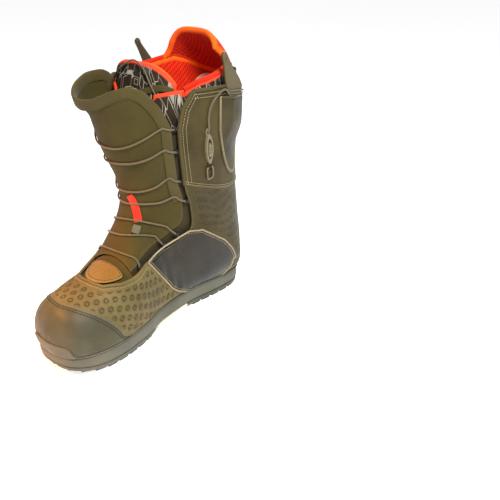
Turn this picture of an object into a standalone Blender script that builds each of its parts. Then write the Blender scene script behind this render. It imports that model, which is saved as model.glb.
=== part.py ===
"""Snowboard boot, right foot, men's EU 42: a layered leather shell on a rubber sole, with a removable
liner, a two-zone lace that runs through webbing guides, and a pull handle with a cam lock on each side.

Frame: +Z up, toe towards -Y, +X the medial (inner) side. The ground is z = 0. Metres in Blender.
The shell follows one swept form. A place on it is (u, t): u counts the sections from the toe tip (0)
over the instep and heel to the rim (15), and t is the angle round a section in degrees, 0 at the sole
or the back of the heel, 90 at the medial side, 180 at the instep or shin and 270 at the lateral side.
Lengths in this file are millimetres until they reach Blender.
"""
import math

import bmesh
import bpy
import numpy as np
from mathutils import Matrix, Vector

MM = 0.001
GAP = 0.35                # clearance between pieces that touch
SEAM_GAP = .03            # between two panels, in sections of the form
CUFF_START = .2           # where the cuff meets the back strap, as a share of the cuff seam
POCKET_TOP = 14.55        # the handle pocket's upper edge, in sections
SOLE_TOP = 26.0           # the upper is lasted down to this height
OUTSOLE = 9.0             # thickness of the outsole
TOE_SPRING = 9.0          # lift of the outsole at the toe tip
SHELL = 2.5               # thickness of the shell's leather
OVERLAY = 1.8             # thickness of a leather overlay
LINER_GAP = 7.0           # from the shell's outer face to the liner, which leaves room for the lace
LINER = 6.0               # thickness of the liner's foam
LACE_R = 1.1
CENTRE = (0.0, 2.0)      # the middle of the finished boot's footprint, moved to x = y = 0

# Sections: back or sole point (forward, up), front or top point (forward, up), half widths medial and
# lateral, sideways shift, share of the height below the widest point, fullness below and above it.
SECTIONS = (
    (154, 46, 154, 46, 0, 0, 10, .40, 2.3, 2.2),
    (150, 26, 147, 68, 23, 30, 10, .38, 2.6, 2.2),
    (140, 22, 133, 81, 38, 46, 9, .34, 3.0, 2.2),
    (118, 20, 98, 89, 49, 53, 6, .30, 3.4, 2.2),
    (85, 20, 65, 96, 53, 54, 3, .28, 3.6, 2.2),
    (45, 20, 44, 108, 50, 55, 0, .26, 3.6, 2.1),
    (0, 20, 34, 126, 39, 54, -1, .28, 3.4, 2.1),
    (-55, 20, 25, 146, 35, 50, -1, .32, 3.2, 2.1),
    (-112, 20, 21, 166, 43, 49, 0, .38, 3.1, 2.1),
    (-150, 26, 22, 182, 49, 51, 0, .42, 2.8, 2.1),
    (-156, 65, 25, 198, 52, 53, 0, .46, 2.4, 2.1),
    (-153, 100, 32, 215, 55, 56, 0, .50, 2.3, 2.1),
    (-148, 145, 40, 235, 59, 59, 0, .50, 2.2, 2.1),
    (-145, 195, 47, 260, 62, 62, 0, .50, 2.2, 2.1),
    (-147, 245, 54, 285, 65, 65, 0, .50, 2.2, 2.1),
    (-150, 295, 61, 310, 67, 67, 0, .50, 2.2, 2.1),
)
RIM = len(SECTIONS) - 1
# The liner stands more upright than the shell, so its front line falls behind the shell's by this much.
LINER_LEAN = ((0, 0), (9, 0), (10, 5), (11, 12), (12, 22), (13, 32), (14, 44), (15, 57), (16, 72))

COLOURS = {
    "shell_leather": ((.105, .082, .050), .48, 0), "toe_leather": ((.130, .105, .065), .5, 0),
    "smooth_leather": ((.085, .082, .068), .3, 0), "dimpled_leather": ((.150, .120, .075), .55, 0),
    "tongue_fabric": ((.110, .080, .042), .8, 0), "sole_rubber": ((.105, .105, .088), .75, 0),
    "midsole_foam": ((.120, .118, .098), .8, 0), "arch_plastic": ((.75, .70, .52), .5, 0),
    "lace_cord": ((.060, .052, .040), .7, 0), "webbing": ((.018, .017, .016), .8, 0),
    "handle_plastic": ((.060, .045, .028), .45, 0), "lock_plastic": ((.020, .020, .020), .4, 0),
    "red_ribbon": ((.75, .035, .02), .6, 0), "tip_rubber": ((.12, .11, .09), .6, 0),
    "liner_mesh": ((.80, .06, .015), .85, 0), "liner_fabric": ((.030, .028, .028), .85, 0),
    "pad_foam": ((.62, .48, .30), .9, 0), "binding_tape": ((.075, .060, .035), .7, 0),
    "board": ((.35, .30, .22), .9, 0),
}


def curve_value(points, x):
    """The height of a smooth-ended run of straight pieces through (x, value) points."""
    return float(np.interp(x, [p[0] for p in points], [p[1] for p in points]))


class Form:
    """The swept surface: point(u, t) on it, and at(u, t, out) a distance outside it."""

    def __init__(self, lean=((0, 0), (16, 0))):
        rows = np.array(SECTIONS, float)
        for u, row in enumerate(rows):
            back = curve_value(lean, u)
            row[7] *= (row[2] - row[0]) / (row[2] - row[0] - back) if back else 1
            row[2] -= back
        before = rows[1].copy()
        before[:4] = rows[1][[2, 3, 0, 1]]
        before[4:6] *= -1
        self.rows = np.vstack([before, rows, 2 * rows[-1] - rows[-2], 3 * rows[-1] - 2 * rows[-2]])

    def section(self, u):
        i = min(int(u), RIM)
        s = u - i
        p0, p1, p2, p3 = self.rows[i:i + 4]
        return ((2 * s**3 - 3 * s**2 + 1) * p1 + (s**3 - 2 * s**2 + s) * (p2 - p0) / 2
                + (3 * s**2 - 2 * s**3) * p2 + (s**3 - s**2) * (p3 - p1) / 2)

    def point(self, u, t):
        back_f, back_z, front_f, front_z, medial, lateral, shift, belly, low, high = self.section(u)
        c, s = math.cos(math.radians(t)), math.sin(math.radians(t))
        full = low if c >= 0 else high
        c_part, side = abs(c) ** (2 / full), abs(s) ** (2 / full)
        rise = belly * (1 - c_part) if c >= 0 else belly + (1 - belly) * c_part
        half = medial if s >= 0 else -lateral
        return Vector((shift + half * side, -(back_f + (front_f - back_f) * rise),
                       back_z + (front_z - back_z) * rise))

    def normal(self, u, t):
        along = self.point(min(u + .04, 16.9), t) - self.point(max(u - .04, .02), t)
        around = self.point(u, t + 1.5) - self.point(u, t - 1.5)
        out = around.cross(along)
        middle = (self.point(u, 0) + self.point(u, 180)) / 2
        outward = self.point(u, t) - middle
        return (out if out.dot(outward) > 0 else -out).normalized()

    def at(self, u, t, out=0.0):
        return self.point(u, t) + self.normal(max(u, .15), t) * out

    def floor_angle(self, u, height=SOLE_TOP):
        """The angle where the section reaches the sole's top, or 0 where it stays above it."""
        _, back_z, _, front_z, _, _, _, belly, low, _ = self.section(u)
        share = (height - back_z) / max(front_z - back_z, 1e-6) / belly
        if share <= 0:
            return 0.0
        return math.degrees(math.acos(min(1, max(0, 1 - share)) ** (low / 2)))

    def place(self, u, t, out):
        """A matrix at that place: X across towards larger t, Y up along the form, Z outwards."""
        z = self.normal(u, t)
        up = self.point(u + .05, t) - self.point(u - .05, t)
        up = (up - z * up.dot(z)).normalized()
        matrix = Matrix((up.cross(z), up, z)).transposed().to_4x4()
        matrix.translation = self.at(u, t, out)
        return matrix


SHELL_FORM = Form()
LINER_FORM = Form(LINER_LEAN)

# Half the angle that the throat leaves open, from the U over the toes to the rim.
THROAT = ((3.15, 0), (3.2, 9), (3.35, 22), (4.0, 36), (4.6, 43), (6.1, 56), (7.3, 64), (8.5, 68),
          (13.5, 69), (14.2, 73), (14.7, 80), (15, 88))
THROAT_REACH = ((4, 3), (6, 1))    # how far down the side the throat bends the vamp's grid, over u
TONGUE_MARGIN = ((8, 9), (10, 6.5))   # degrees between the tongue's edge and the throat's, over u

# Lace guides, as places u along the throat's edge. The lace goes under the shell between them.
MEDIAL_GUIDES = (13.45, 12.6, 11.3, 10.15, 7.95, 7.2, 5.5)
LATERAL_GUIDES = (13.2, 11.9, 10.9, 10.1, 7.3, 6.5, 5.4)
STRAND_DIPS = (1.3, 1.2, 2.3, 2.25, .7, .8, .4)     # how far each strand falls, in u, at mid-tongue
LACE_OVER = 3.0           # height of its middle over the tongue
LACE_UNDER = -4.7         # height of the lace's middle where it runs under the shell

TONGUE_HINGE = (53, 96)   # forward and up
LINER_TONGUE_HINGE = (44, 95)


def throat(u):
    return curve_value(THROAT, u)


def tongue_margin(u):
    return curve_value(TONGUE_MARGIN, u)


def toe_seam(b):
    """The seam between toe cap and vamp. b is 0 at the sole and 1 over the toes."""
    return 2.0 + 2.95 * (1 - b) ** 1.6


def side_front(b):
    return 6.95 - .85 * b


SIDE_BACK = ((0, 7.95), (.17, 8.14), (.48, 8.81), (.65, 9.25), (.75, 9.36), (.92, 9.16), (1, 8.6))
CUFF_SEAM = ((0, 12.4), (.45, 12.0), (1, 11.2))


def collection(name):
    made = bpy.data.collections.new(name)
    bpy.context.scene.collection.children.link(made)
    return made


def material(name):
    found = bpy.data.materials.get(name)
    if found:
        return found
    colour, roughness, metallic = COLOURS[name]
    made = bpy.data.materials.new(name)
    made.use_nodes = True
    shader = made.node_tree.nodes["Principled BSDF"]
    shader.inputs["Base Color"].default_value = (*colour, 1)
    shader.inputs["Roughness"].default_value = roughness
    shader.inputs["Metallic"].default_value = metallic
    return made


def to_world(p):
    return Vector((p[0] - CENTRE[0], p[1] - CENTRE[1], p[2])) * MM


def add(name, mesh_or_curve, slot):
    made = bpy.data.objects.new(name, mesh_or_curve)
    PARTS.objects.link(made)
    if made.type == "MESH":
        made.data.shade_smooth()
        made.data.set_sharp_from_angle(angle=math.radians(40))
    made.data.materials.append(material(slot))
    return made


def grid_mesh(name, rows):
    """A mesh from grids of points in millimetres. Points that meet are made one."""
    bm = bmesh.new()
    for grid in rows:
        verts = [[bm.verts.new(to_world(p)) for p in row] for row in grid]
        for lower, upper in zip(verts, verts[1:]):
            for a, b, c, d in zip(lower, lower[1:], upper[1:], upper):
                bm.faces.new((a, b, c, d))
    bmesh.ops.remove_doubles(bm, verts=bm.verts, dist=.05 * MM)
    bmesh.ops.dissolve_degenerate(bm, edges=bm.edges, dist=.02 * MM)
    bmesh.ops.recalc_face_normals(bm, faces=bm.faces)
    mesh = bpy.data.meshes.new(name)
    bm.to_mesh(mesh)
    bm.free()
    return mesh


def solidify(obj, thickness):
    """Gives an open surface its thickness on the side of its normals, then turns them to face out."""
    thick = obj.modifiers.new("thickness", "SOLIDIFY")
    thick.thickness = thickness * MM
    thick.offset = 1
    thick.use_even_offset = False
    thick.use_quality_normals = True
    return obj


def face_outwards(mesh, form):
    """Turns an open surface's normals away from the boot's inside."""
    mesh.update()
    votes = 0
    for face in mesh.polygons:
        p = face.center / MM
        forward, height = -(p.y + CENTRE[1]), p.z
        core = Vector((0, -forward, 60)) if forward > 30 else Vector((0, 60, max(60, height)))
        votes += 1 if face.normal.dot(p + Vector((*CENTRE, 0)) - core) > 0 else -1
    if votes < 0:
        mesh.flip_normals()


def panel(name, slot, u_range, t_range, inner, thickness, steps, form=SHELL_FORM, both=False):
    """A sheet on the form: u runs between two curves of b, and t between two curves of u.
    both adds its mirror image on the lateral side, joined where the two meet."""
    u_low, u_high = u_range
    t_low, t_high = t_range
    rows, columns = steps

    def half(mirrored):
        grid = []
        for j in range(columns + 1):
            b = j / columns
            line = []
            for i in range(rows + 1):
                u = u_low(b) + (u_high(b) - u_low(b)) * i / rows
                if t_high is throat_edge:
                    t = t_low(u) + (180 - t_low(u)) * b - throat(u) * b ** curve_value(THROAT_REACH, u)
                else:
                    t = t_low(u) + (t_high(u) - t_low(u)) * b
                line.append(form.at(u, 360 - t if mirrored else t, inner))
            grid.append(line)
        return grid

    sides = [half(False), half(True)] if both else [half(name.startswith("lateral"))]
    mesh = grid_mesh(name, sides)
    face_outwards(mesh, form)
    return solidify(add(name, mesh, slot), thickness)


def smooth(points, per_span=4):
    """Points on a Catmull-Rom curve through the given ones."""
    p = [Vector(q) for q in points]
    p = [2 * p[0] - p[1], *p, 2 * p[-1] - p[-2]]
    line = []
    for a, b, c, d in zip(p, p[1:], p[2:], p[3:]):
        for k in range(per_span):
            s = k / per_span
            line.append(b + (c - a) * s / 2 + (2 * a - 5 * b + 4 * c - d) * s**2 / 2
                        + (3 * b - a - 3 * c + d) * s**3 / 2)
    return [*line, p[-2]]


def tube(name, slot, points, radius, closed=False, sides=2):
    """A round cord or wire along points in millimetres."""
    data = bpy.data.curves.new(name, "CURVE")
    data.dimensions = "3D"
    data.bevel_depth = radius * MM
    data.bevel_resolution = sides
    data.use_fill_caps = not closed
    spline = data.splines.new("POLY")
    spline.points.add(len(points) - 1)
    for knot, p in zip(spline.points, points):
        knot.co = (*to_world(p), 1)
    spline.use_cyclic_u = closed
    return add(name, data, slot)


def block(name, slot, outline, matrix, low, high):
    """A plate cut to an outline in the matrix's XY plane, from height low to high along its Z."""
    bm = bmesh.new()
    ring = [bm.verts.new(matrix @ Vector((x, y, low))) for x, y in outline]
    face = bm.faces.new(ring)
    raised = bmesh.ops.extrude_face_region(bm, geom=[face])
    lift = matrix.to_3x3() @ Vector((0, 0, high - low))
    bmesh.ops.translate(bm, vec=lift, verts=[v for v in raised["geom"] if isinstance(v, bmesh.types.BMVert)])
    for v in bm.verts:
        v.co = to_world(v.co)
    bmesh.ops.recalc_face_normals(bm, faces=bm.faces)
    mesh = bpy.data.meshes.new(name)
    bm.to_mesh(mesh)
    bm.free()
    return add(name, mesh, slot)


def oval(width, height, count=16, power=2.0):
    """A rounded outline of that size round (0, 0)."""
    points = []
    for k in range(count):
        a = 2 * math.pi * k / count
        c, s = math.cos(a), math.sin(a)
        points.append((math.copysign(abs(c) ** (2 / power), c) * width / 2,
                       math.copysign(abs(s) ** (2 / power), s) * height / 2))
    return points


# ---- sole ----------------------------------------------------------------------------------------

def sole_outline(grow, count=30):
    """The sole's outline, this far outside the line where the upper meets the sole."""
    medial, lateral = [], []
    for k in range(count + 1):
        u = 1 + 8.0 * k / count
        angle = SHELL_FORM.floor_angle(u)
        medial.append(SHELL_FORM.point(u, angle))
        lateral.append(SHELL_FORM.point(u, 360 - angle))
    ring = [Vector((p.x, p.y)) for p in medial + lateral[::-1]]
    ring = [p for p, q in zip(ring, ring[1:] + ring[:1]) if (p - q).length > 1.5]
    for _ in range(2):
        ring = [(a + 2 * b + c) / 4 for a, b, c in zip(ring[-1:] + ring[:-1], ring, ring[1:] + ring[:1])]
    grown = []
    for a, b, c in zip(ring[-1:] + ring[:-1], ring, ring[1:] + ring[:1]):
        along = (c - a).normalized()
        out = Vector((along.y, -along.x))
        faces_in = out.dot(b - Vector((0, b.y))) < 0 and abs(b.x) > 12
        grown.append(b - out * grow if faces_in else b + out * grow)
    return ring if grow == 0 else grown


def toe_spring(y):
    """How far the sole's underside lifts at this y."""
    return TOE_SPRING * max(0.0, (-y - 92) / 66) ** 2


def plate(name, slot, grow, bottom, top, front=None, back=None, spring=False):
    """A slice of the sole between two heights, cut off in front of and behind two places."""
    bm = bmesh.new()
    ring = [bm.verts.new((p.x, p.y, bottom)) for p in sole_outline(grow)]
    face = bm.faces.new(ring)
    raised = bmesh.ops.extrude_face_region(bm, geom=[face])
    upper = [v for v in raised["geom"] if isinstance(v, bmesh.types.BMVert)]
    bmesh.ops.translate(bm, vec=(0, 0, top - bottom), verts=upper)
    for cut, side in ((front, -1), (back, 1)):
        if cut is None:
            continue
        geometry = [*bm.verts, *bm.edges, *bm.faces]
        bmesh.ops.bisect_plane(bm, geom=geometry, plane_co=(0, -cut, 0), plane_no=(0, side, 0),
                               clear_outer=True)
        edges = [e for e in bm.edges if e.is_boundary]
        bmesh.ops.contextual_create(bm, geom=edges)
    if spring:
        for v in bm.verts:
            if v.co.z < top - 1:
                v.co.z += toe_spring(v.co.y)
    for v in bm.verts:
        v.co = to_world(v.co)
    bmesh.ops.recalc_face_normals(bm, faces=bm.faces)
    bmesh.ops.triangulate(bm, faces=bm.faces)
    mesh = bpy.data.meshes.new(name)
    bm.to_mesh(mesh)
    bm.free()
    return add(name, mesh, slot)


def make_sole():
    plate("outsole_forefoot", "sole_rubber", 5, 0, OUTSOLE, back=22, spring=True)
    plate("outsole_heel", "sole_rubber", 5, 0, OUTSOLE, front=-48)
    plate("arch_plate", "arch_plastic", 1.5, 3.5, OUTSOLE, front=22 - GAP, back=-48 + GAP)
    plate("midsole", "midsole_foam", 4.5, OUTSOLE + GAP, SOLE_TOP - 2 * GAP)
    plate("lasting_board", "board", -4, SOLE_TOP, SOLE_TOP + 2)
    plate("footbed", "liner_fabric", -17, SOLE_TOP + LINER + 4, SOLE_TOP + LINER + 8)


# ---- upper ---------------------------------------------------------------------------------------

def floor_edge(u):
    return SHELL_FORM.floor_angle(u)


def throat_edge(u):
    return 180 - throat(u)


def bumper_ridge(u):
    """The bumper's upper edge: high round the toe tip, and down to the sole behind it."""
    return SHELL_FORM.floor_angle(u, curve_value(((0, 44), (1, 42), (1.7, 38), (2.5, 32)), u))


def constant(value):
    return lambda _: value


def shifted(curve, step):
    return lambda b: curve(b) + step


def side_back(b):
    """The side panel's rear edge, from the sole (b = 0) to the throat (b = 1)."""
    return curve_value(SIDE_BACK, b)


def cuff_seam(b):
    """The seam between the quarter and the cuff, from the heel's middle to the throat."""
    return curve_value(CUFF_SEAM, b)


def cuff_foot(b):
    """The cuff's lower edge: the seam from where the back strap ends, with a gap for the quarter."""
    return cuff_seam(CUFF_START + (1 - CUFF_START) * b) + SEAM_GAP


def pocket_foot(b):
    """The handle pocket's rounded lower edge."""
    return 12.3 + 1.2 * (2 * b - 1) ** 4


def binding_route(side):
    """The line of a cuff's binding, just in front of its edge at the throat."""
    route = []
    for u in np.linspace(11.45, 14.75, 11):
        angle = 180 + throat(u) + 1 if side == "lateral" else throat_edge(u) - 1
        route.append(SHELL_FORM.at(u, angle, 1.6))
    return route


def make_upper():
    inner = -SHELL
    panel("toe_cap", "toe_leather", (constant(0), shifted(toe_seam, -SEAM_GAP)),
          (floor_edge, throat_edge), inner, SHELL, (7, 9), both=True)
    panel("vamp", "dimpled_leather", (shifted(toe_seam, SEAM_GAP), shifted(side_front, -SEAM_GAP)),
          (floor_edge, throat_edge), inner, SHELL, (11, 7), both=True)
    for side in ("medial", "lateral"):
        panel(side + "_side_panel", "smooth_leather",
              (shifted(side_front, SEAM_GAP), shifted(side_back, -SEAM_GAP)),
              (floor_edge, throat_edge), inner, SHELL, (7, 12))
        panel(side + "_cuff", "shell_leather", (cuff_foot, constant(RIM)),
              (constant(26), throat_edge), inner, SHELL, (10, 8))
        panel(side + "_handle_pocket", "smooth_leather", (pocket_foot, constant(POCKET_TOP)),
              (constant(46), constant(76)), GAP, OVERLAY, (6, 6))
        tube(side + "_cuff_binding", "binding_tape", binding_route(side), 1.2)
    panel("heel_quarter", "dimpled_leather", (shifted(side_back, SEAM_GAP), shifted(cuff_seam, -SEAM_GAP)),
          (floor_edge, throat_edge), inner, SHELL, (9, 12), both=True)
    panel("back_strap", "smooth_leather", (constant(cuff_seam(0) + .05), constant(RIM)),
          (constant(0), constant(25)), inner, SHELL, (6, 3), both=True)
    loop = [SHELL_FORM.at(14.8, -9, 1.9), SHELL_FORM.at(15.2, -10, 4.5), SHELL_FORM.at(15.5, -8, 7),
            SHELL_FORM.at(15.6, 0, 8), SHELL_FORM.at(15.5, 8, 7), SHELL_FORM.at(15.2, 10, 4.5),
            SHELL_FORM.at(14.8, 9, 1.9)]
    tube("heel_pull_loop", "webbing", smooth(loop, 2), 1.5, sides=1)
    panel("toe_bumper", "sole_rubber", (constant(.03), constant(2.45)),
          (lambda u: SHELL_FORM.floor_angle(u, SOLE_TOP + 2.6), bumper_ridge), .8, 2.4, (8, 3), both=True)
    panel("tongue_patch", "tongue_fabric", (constant(3.45), constant(4.55)),
          (lambda u: throat_edge(u) + 5, constant(180)), inner, SHELL, (5, 5), both=True)


# ---- tongue --------------------------------------------------------------------------------------

TONGUE_FOOT = 4.75
TONGUE_RIM = ((0, 13.5), (.1, 14.2), (.25, 14.78), (.42, 14.95), (.63, 14.75), (1, 14.25))


def tongue_edge(u):
    return 180 - throat(min(u, 13.5)) + tongue_margin(u)


def tongue_rim(b):
    """The tongue's top edge, highest at its two corners: b is 0 at its side edge and 1 in the middle."""
    return curve_value(TONGUE_RIM, b)


def make_tongue():
    panel("shell_tongue", "tongue_fabric", (constant(TONGUE_FOOT), tongue_rim),
          (tongue_edge, constant(180)), -SHELL, SHELL, (13, 6), both=True)
    rim = []
    for k in range(-9, 10):
        b = 1 - abs(k) / 9
        u = tongue_rim(b) + .06
        t = tongue_edge(u) + (180 - tongue_edge(u)) * b
        rim.append(SHELL_FORM.at(u, t if k < 0 else 360 - t, -SHELL / 2) + Vector((0, 0, 3.2)))
    tube("tongue_binding", "binding_tape", rim, 2.2)
    ribbon_route = smooth([(8.55, 174, 0), (8.15, 168, 0), (7.7, 160, 0), (7.4, 155, 0)], 3)
    sheet = []
    for u, t, _ in ribbon_route:
        sheet.append([SHELL_FORM.at(u, t + side * 4.5, .8) for side in (-1, -.33, .33, 1)])
    mesh = grid_mesh("tab_ribbon", [sheet])
    face_outwards(mesh, SHELL_FORM)
    solidify(add("tab_ribbon", mesh, "red_ribbon"), .7)
    block("tab_tip", "tip_rubber", oval(9, 9.5, 12, 4), SHELL_FORM.place(6.78, 154.5, 0), .9, 3.2)


# ---- laces and guides ----------------------------------------------------------------------------

TURN_IN = 7.0             # degrees under the shell's edge where the lace turns back


def edge_angle(u, side):
    """The throat's edge at u on that side: +1 medial, -1 lateral."""
    return 180 - side * throat(u)


def strand_end(u, side):
    """Where a strand leaves the tongue's face, dips through the gap and goes under the shell."""
    edge = edge_angle(u, side)
    wide = tongue_margin(u)
    lift = ((wide + 7, LACE_OVER), (wide + 3, LACE_OVER - .2), (wide, 2.0), (wide * .55, -1.0),
            (wide * .2, -3.9), (-2.5, LACE_UNDER))
    return [(u, edge + side * angle, out) for angle, out in lift]


def strand(u_a, side, u_b, dip):
    """A strand across the tongue from the guide at u_a on one side to u_b on the other."""
    first = strand_end(u_a, side)[::-1]
    last = strand_end(u_b, -side)
    middle = []
    t_a, t_b = first[-1][1], last[0][1]
    for k in range(1, 8):
        s = k / 8
        middle.append((u_a + (u_b - u_a) * s - dip * math.sin(math.pi * s), t_a + (t_b - t_a) * s, LACE_OVER))
    return first + middle + last


def lace(name, strands, start, end):
    """One continuous cord through strands of (u, side, u). It turns back under the shell between them."""
    route = [start] if start else []
    for k, (u_a, side, u_b, dip) in enumerate(strands):
        route += strand(u_a, side, u_b, dip)
        if k + 1 < len(strands):
            u_next = strands[k + 1][0]
            depth = side * TURN_IN
            middle_u = (u_b + u_next) / 2
            route.append((u_b + (middle_u - u_b) * .35, edge_angle(u_b, -side) + depth, LACE_UNDER))
            route.append((u_next + (middle_u - u_next) * .35, edge_angle(u_next, -side) + depth, LACE_UNDER))
    route += [end] if end else []
    return tube(name, "lace_cord", [SHELL_FORM.at(u, t, out) for u, t, out in route], LACE_R)


def make_laces():
    m, l = MEDIAL_GUIDES, LATERAL_GUIDES
    dips = STRAND_DIPS
    lace("upper_lace", ((l[0], -1, m[0], dips[0]), (m[1], 1, l[1], dips[1]), (l[2], -1, m[2], dips[2]),
                        (m[3], 1, l[3], dips[3])),
         (13.6, edge_angle(13.5, -1) + 9, LACE_UNDER), (9.6, edge_angle(9.6, -1) + 9, LACE_UNDER))
    lace("lower_lace", ((m[4], 1, l[4], dips[4]), (l[5], -1, m[5], dips[5]), (m[6], 1, l[6], dips[6])),
         (8.7, edge_angle(8.7, 1) - 8, LACE_UNDER), (5.1, edge_angle(5.1, -1) + 6, LACE_UNDER))
    for side, name, guides in ((1, "medial", m), (-1, "lateral", l)):
        for k, u in enumerate(guides):
            edge = edge_angle(u, side)
            a = SHELL_FORM.at(u, edge + side * tongue_margin(u) * .55, -1.0)
            b = SHELL_FORM.at(u, edge + side * tongue_margin(u) * .2, -3.9)
            along = (a - b).normalized()
            across = along.cross(SHELL_FORM.normal(u, edge)).normalized()
            other = along.cross(across)
            middle = (a + b) / 2
            ring = [middle + (across * math.cos(x) + other * math.sin(x)) * 2.45
                    for x in np.linspace(0, 2 * math.pi, 10, endpoint=False)]
            tube(f"{name}_guide_{k + 1}", "webbing", ring, .55, closed=True, sides=0)


# ---- handles and locks ---------------------------------------------------------------------------

LOCK_AT = (12.95, 88)
RING_AT = (12.15, 88)
HANDLE_AT = (14.35, 60)


def side_angle(t, side):
    return t if side > 0 else 360 - t


def upright(u, t, out):
    """Like Form.place, but its Y axis stands straight up and its Z axis is level, outwards."""
    p = SHELL_FORM.at(u, t, out)
    z = SHELL_FORM.normal(u, t)
    z = Vector((z.x, z.y, 0)).normalized()
    y = Vector((0, 0, 1))
    matrix = Matrix((y.cross(z), y, z)).transposed().to_4x4()
    matrix.translation = p
    return matrix


def ring_block(name, slot, outer, inner, matrix, height):
    """A flat ring between two outlines with as many points, standing on the matrix's XY plane."""
    bm = bmesh.new()
    rings = []
    for outline, z in ((outer, 0), (outer, height), (inner, height), (inner, 0)):
        rings.append([bm.verts.new(to_world(matrix @ Vector((x, y, z)))) for x, y in outline])
    count = len(outer)
    for a, b in zip(rings, rings[1:] + rings[:1]):
        for k in range(count):
            bm.faces.new((a[k], a[(k + 1) % count], b[(k + 1) % count], b[k]))
    bmesh.ops.recalc_face_normals(bm, faces=bm.faces)
    mesh = bpy.data.meshes.new(name)
    bm.to_mesh(mesh)
    bm.free()
    return add(name, mesh, slot)


def make_lock(side, name):
    """A cam lock on the cuff: a lens-shaped frame with a sprung wedge, and a ring that frees it."""
    t = side_angle(LOCK_AT[1], side)
    frame = SHELL_FORM.place(LOCK_AT[0], t, GAP + .6)
    ring_block(name + "_lock_body", "lock_plastic", oval(12, 38, 20, 1.7), oval(7.4, 26, 20, 1.7), frame, 3.0)
    wedge = [(-2.2, -9), (2.2, -9), (2.6, 0), (1.2, 7.5), (-1.2, 7.5), (-2.6, 0)]
    block(name + "_lock_cam", "lock_plastic", wedge, frame, .3, 4.2)
    ring_frame = SHELL_FORM.place(RING_AT[0], side_angle(RING_AT[1], side), GAP + 1.9)
    square = [ring_frame @ Vector((x, y, 0)) for x, y in oval(9.5, 15, 16, 5)]
    tube(name + "_lock_ring", "lock_plastic", square, 1.0, closed=True, sides=1)


def make_handle(side, name):
    t = side_angle(HANDLE_AT[1], side)
    frame = upright(HANDLE_AT[0], t, 6.0)
    outline = [(-11, -20), (-6, -24), (6, -24), (11, -20), (11.5, 16), (9, 30), (5.5, 44), (2.5, 56),
               (-2.5, 56), (-5.5, 44), (-9, 30), (-11.5, 16)]
    block(name + "_pull_handle", "handle_plastic", outline, frame, -2.5, 3.5)
    frame_t = side_angle(LOCK_AT[1], side)
    lead = [SHELL_FORM.at(13.62, frame_t, 3.6), SHELL_FORM.at(13.9, frame_t, 3.4),
            SHELL_FORM.at(14.3, side_angle(84, side), 3.4), SHELL_FORM.at(14.6, side_angle(76, side), 6.0),
            SHELL_FORM.at(14.62, side_angle(73, side), 9.6)]
    tube(name + "_lead_cord", "lace_cord", smooth(lead, 3), LACE_R, sides=1)


# ---- liner ---------------------------------------------------------------------------------------

BUTTON_OUT, BUTTON_TALL = 2.6, 6.2   # how far the cord lock's button stands out, and its height
LINER_TOP = 15.35
LINER_THROAT_FOOT = 4.2
LINER_TOE = .75
LINER_ROWS, LINER_COLUMNS = 20, 19
FLAP_WRAP = 50            # degrees each side of the heel that the back flap's foot covers


def liner_throat(u):
    """Half the liner's opening as an angle: it closes towards the toe and stays wide at the collar."""
    if u >= 14:
        return 67.0
    closing = min(1, max(0, (u - LINER_THROAT_FOOT) / .4))
    return max(0.0, throat(max(u, 3.15)) - 2) * closing


def liner_tongue_top(b):
    return 15.2 + .75 * math.sin(math.pi / 2 * min(1, b * 1.6))


def liner_tongue_edge(u):
    return 180 - min(56, liner_throat(min(u, 13)) - 7)


def liner_top(side):
    """The liner's rim as u. side is 0 at the heel and 1 or -1 at the shin: the rim dips at the heel."""
    return LINER_TOP - .35 * max(0, 1 - (side / .45) ** 2)


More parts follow.
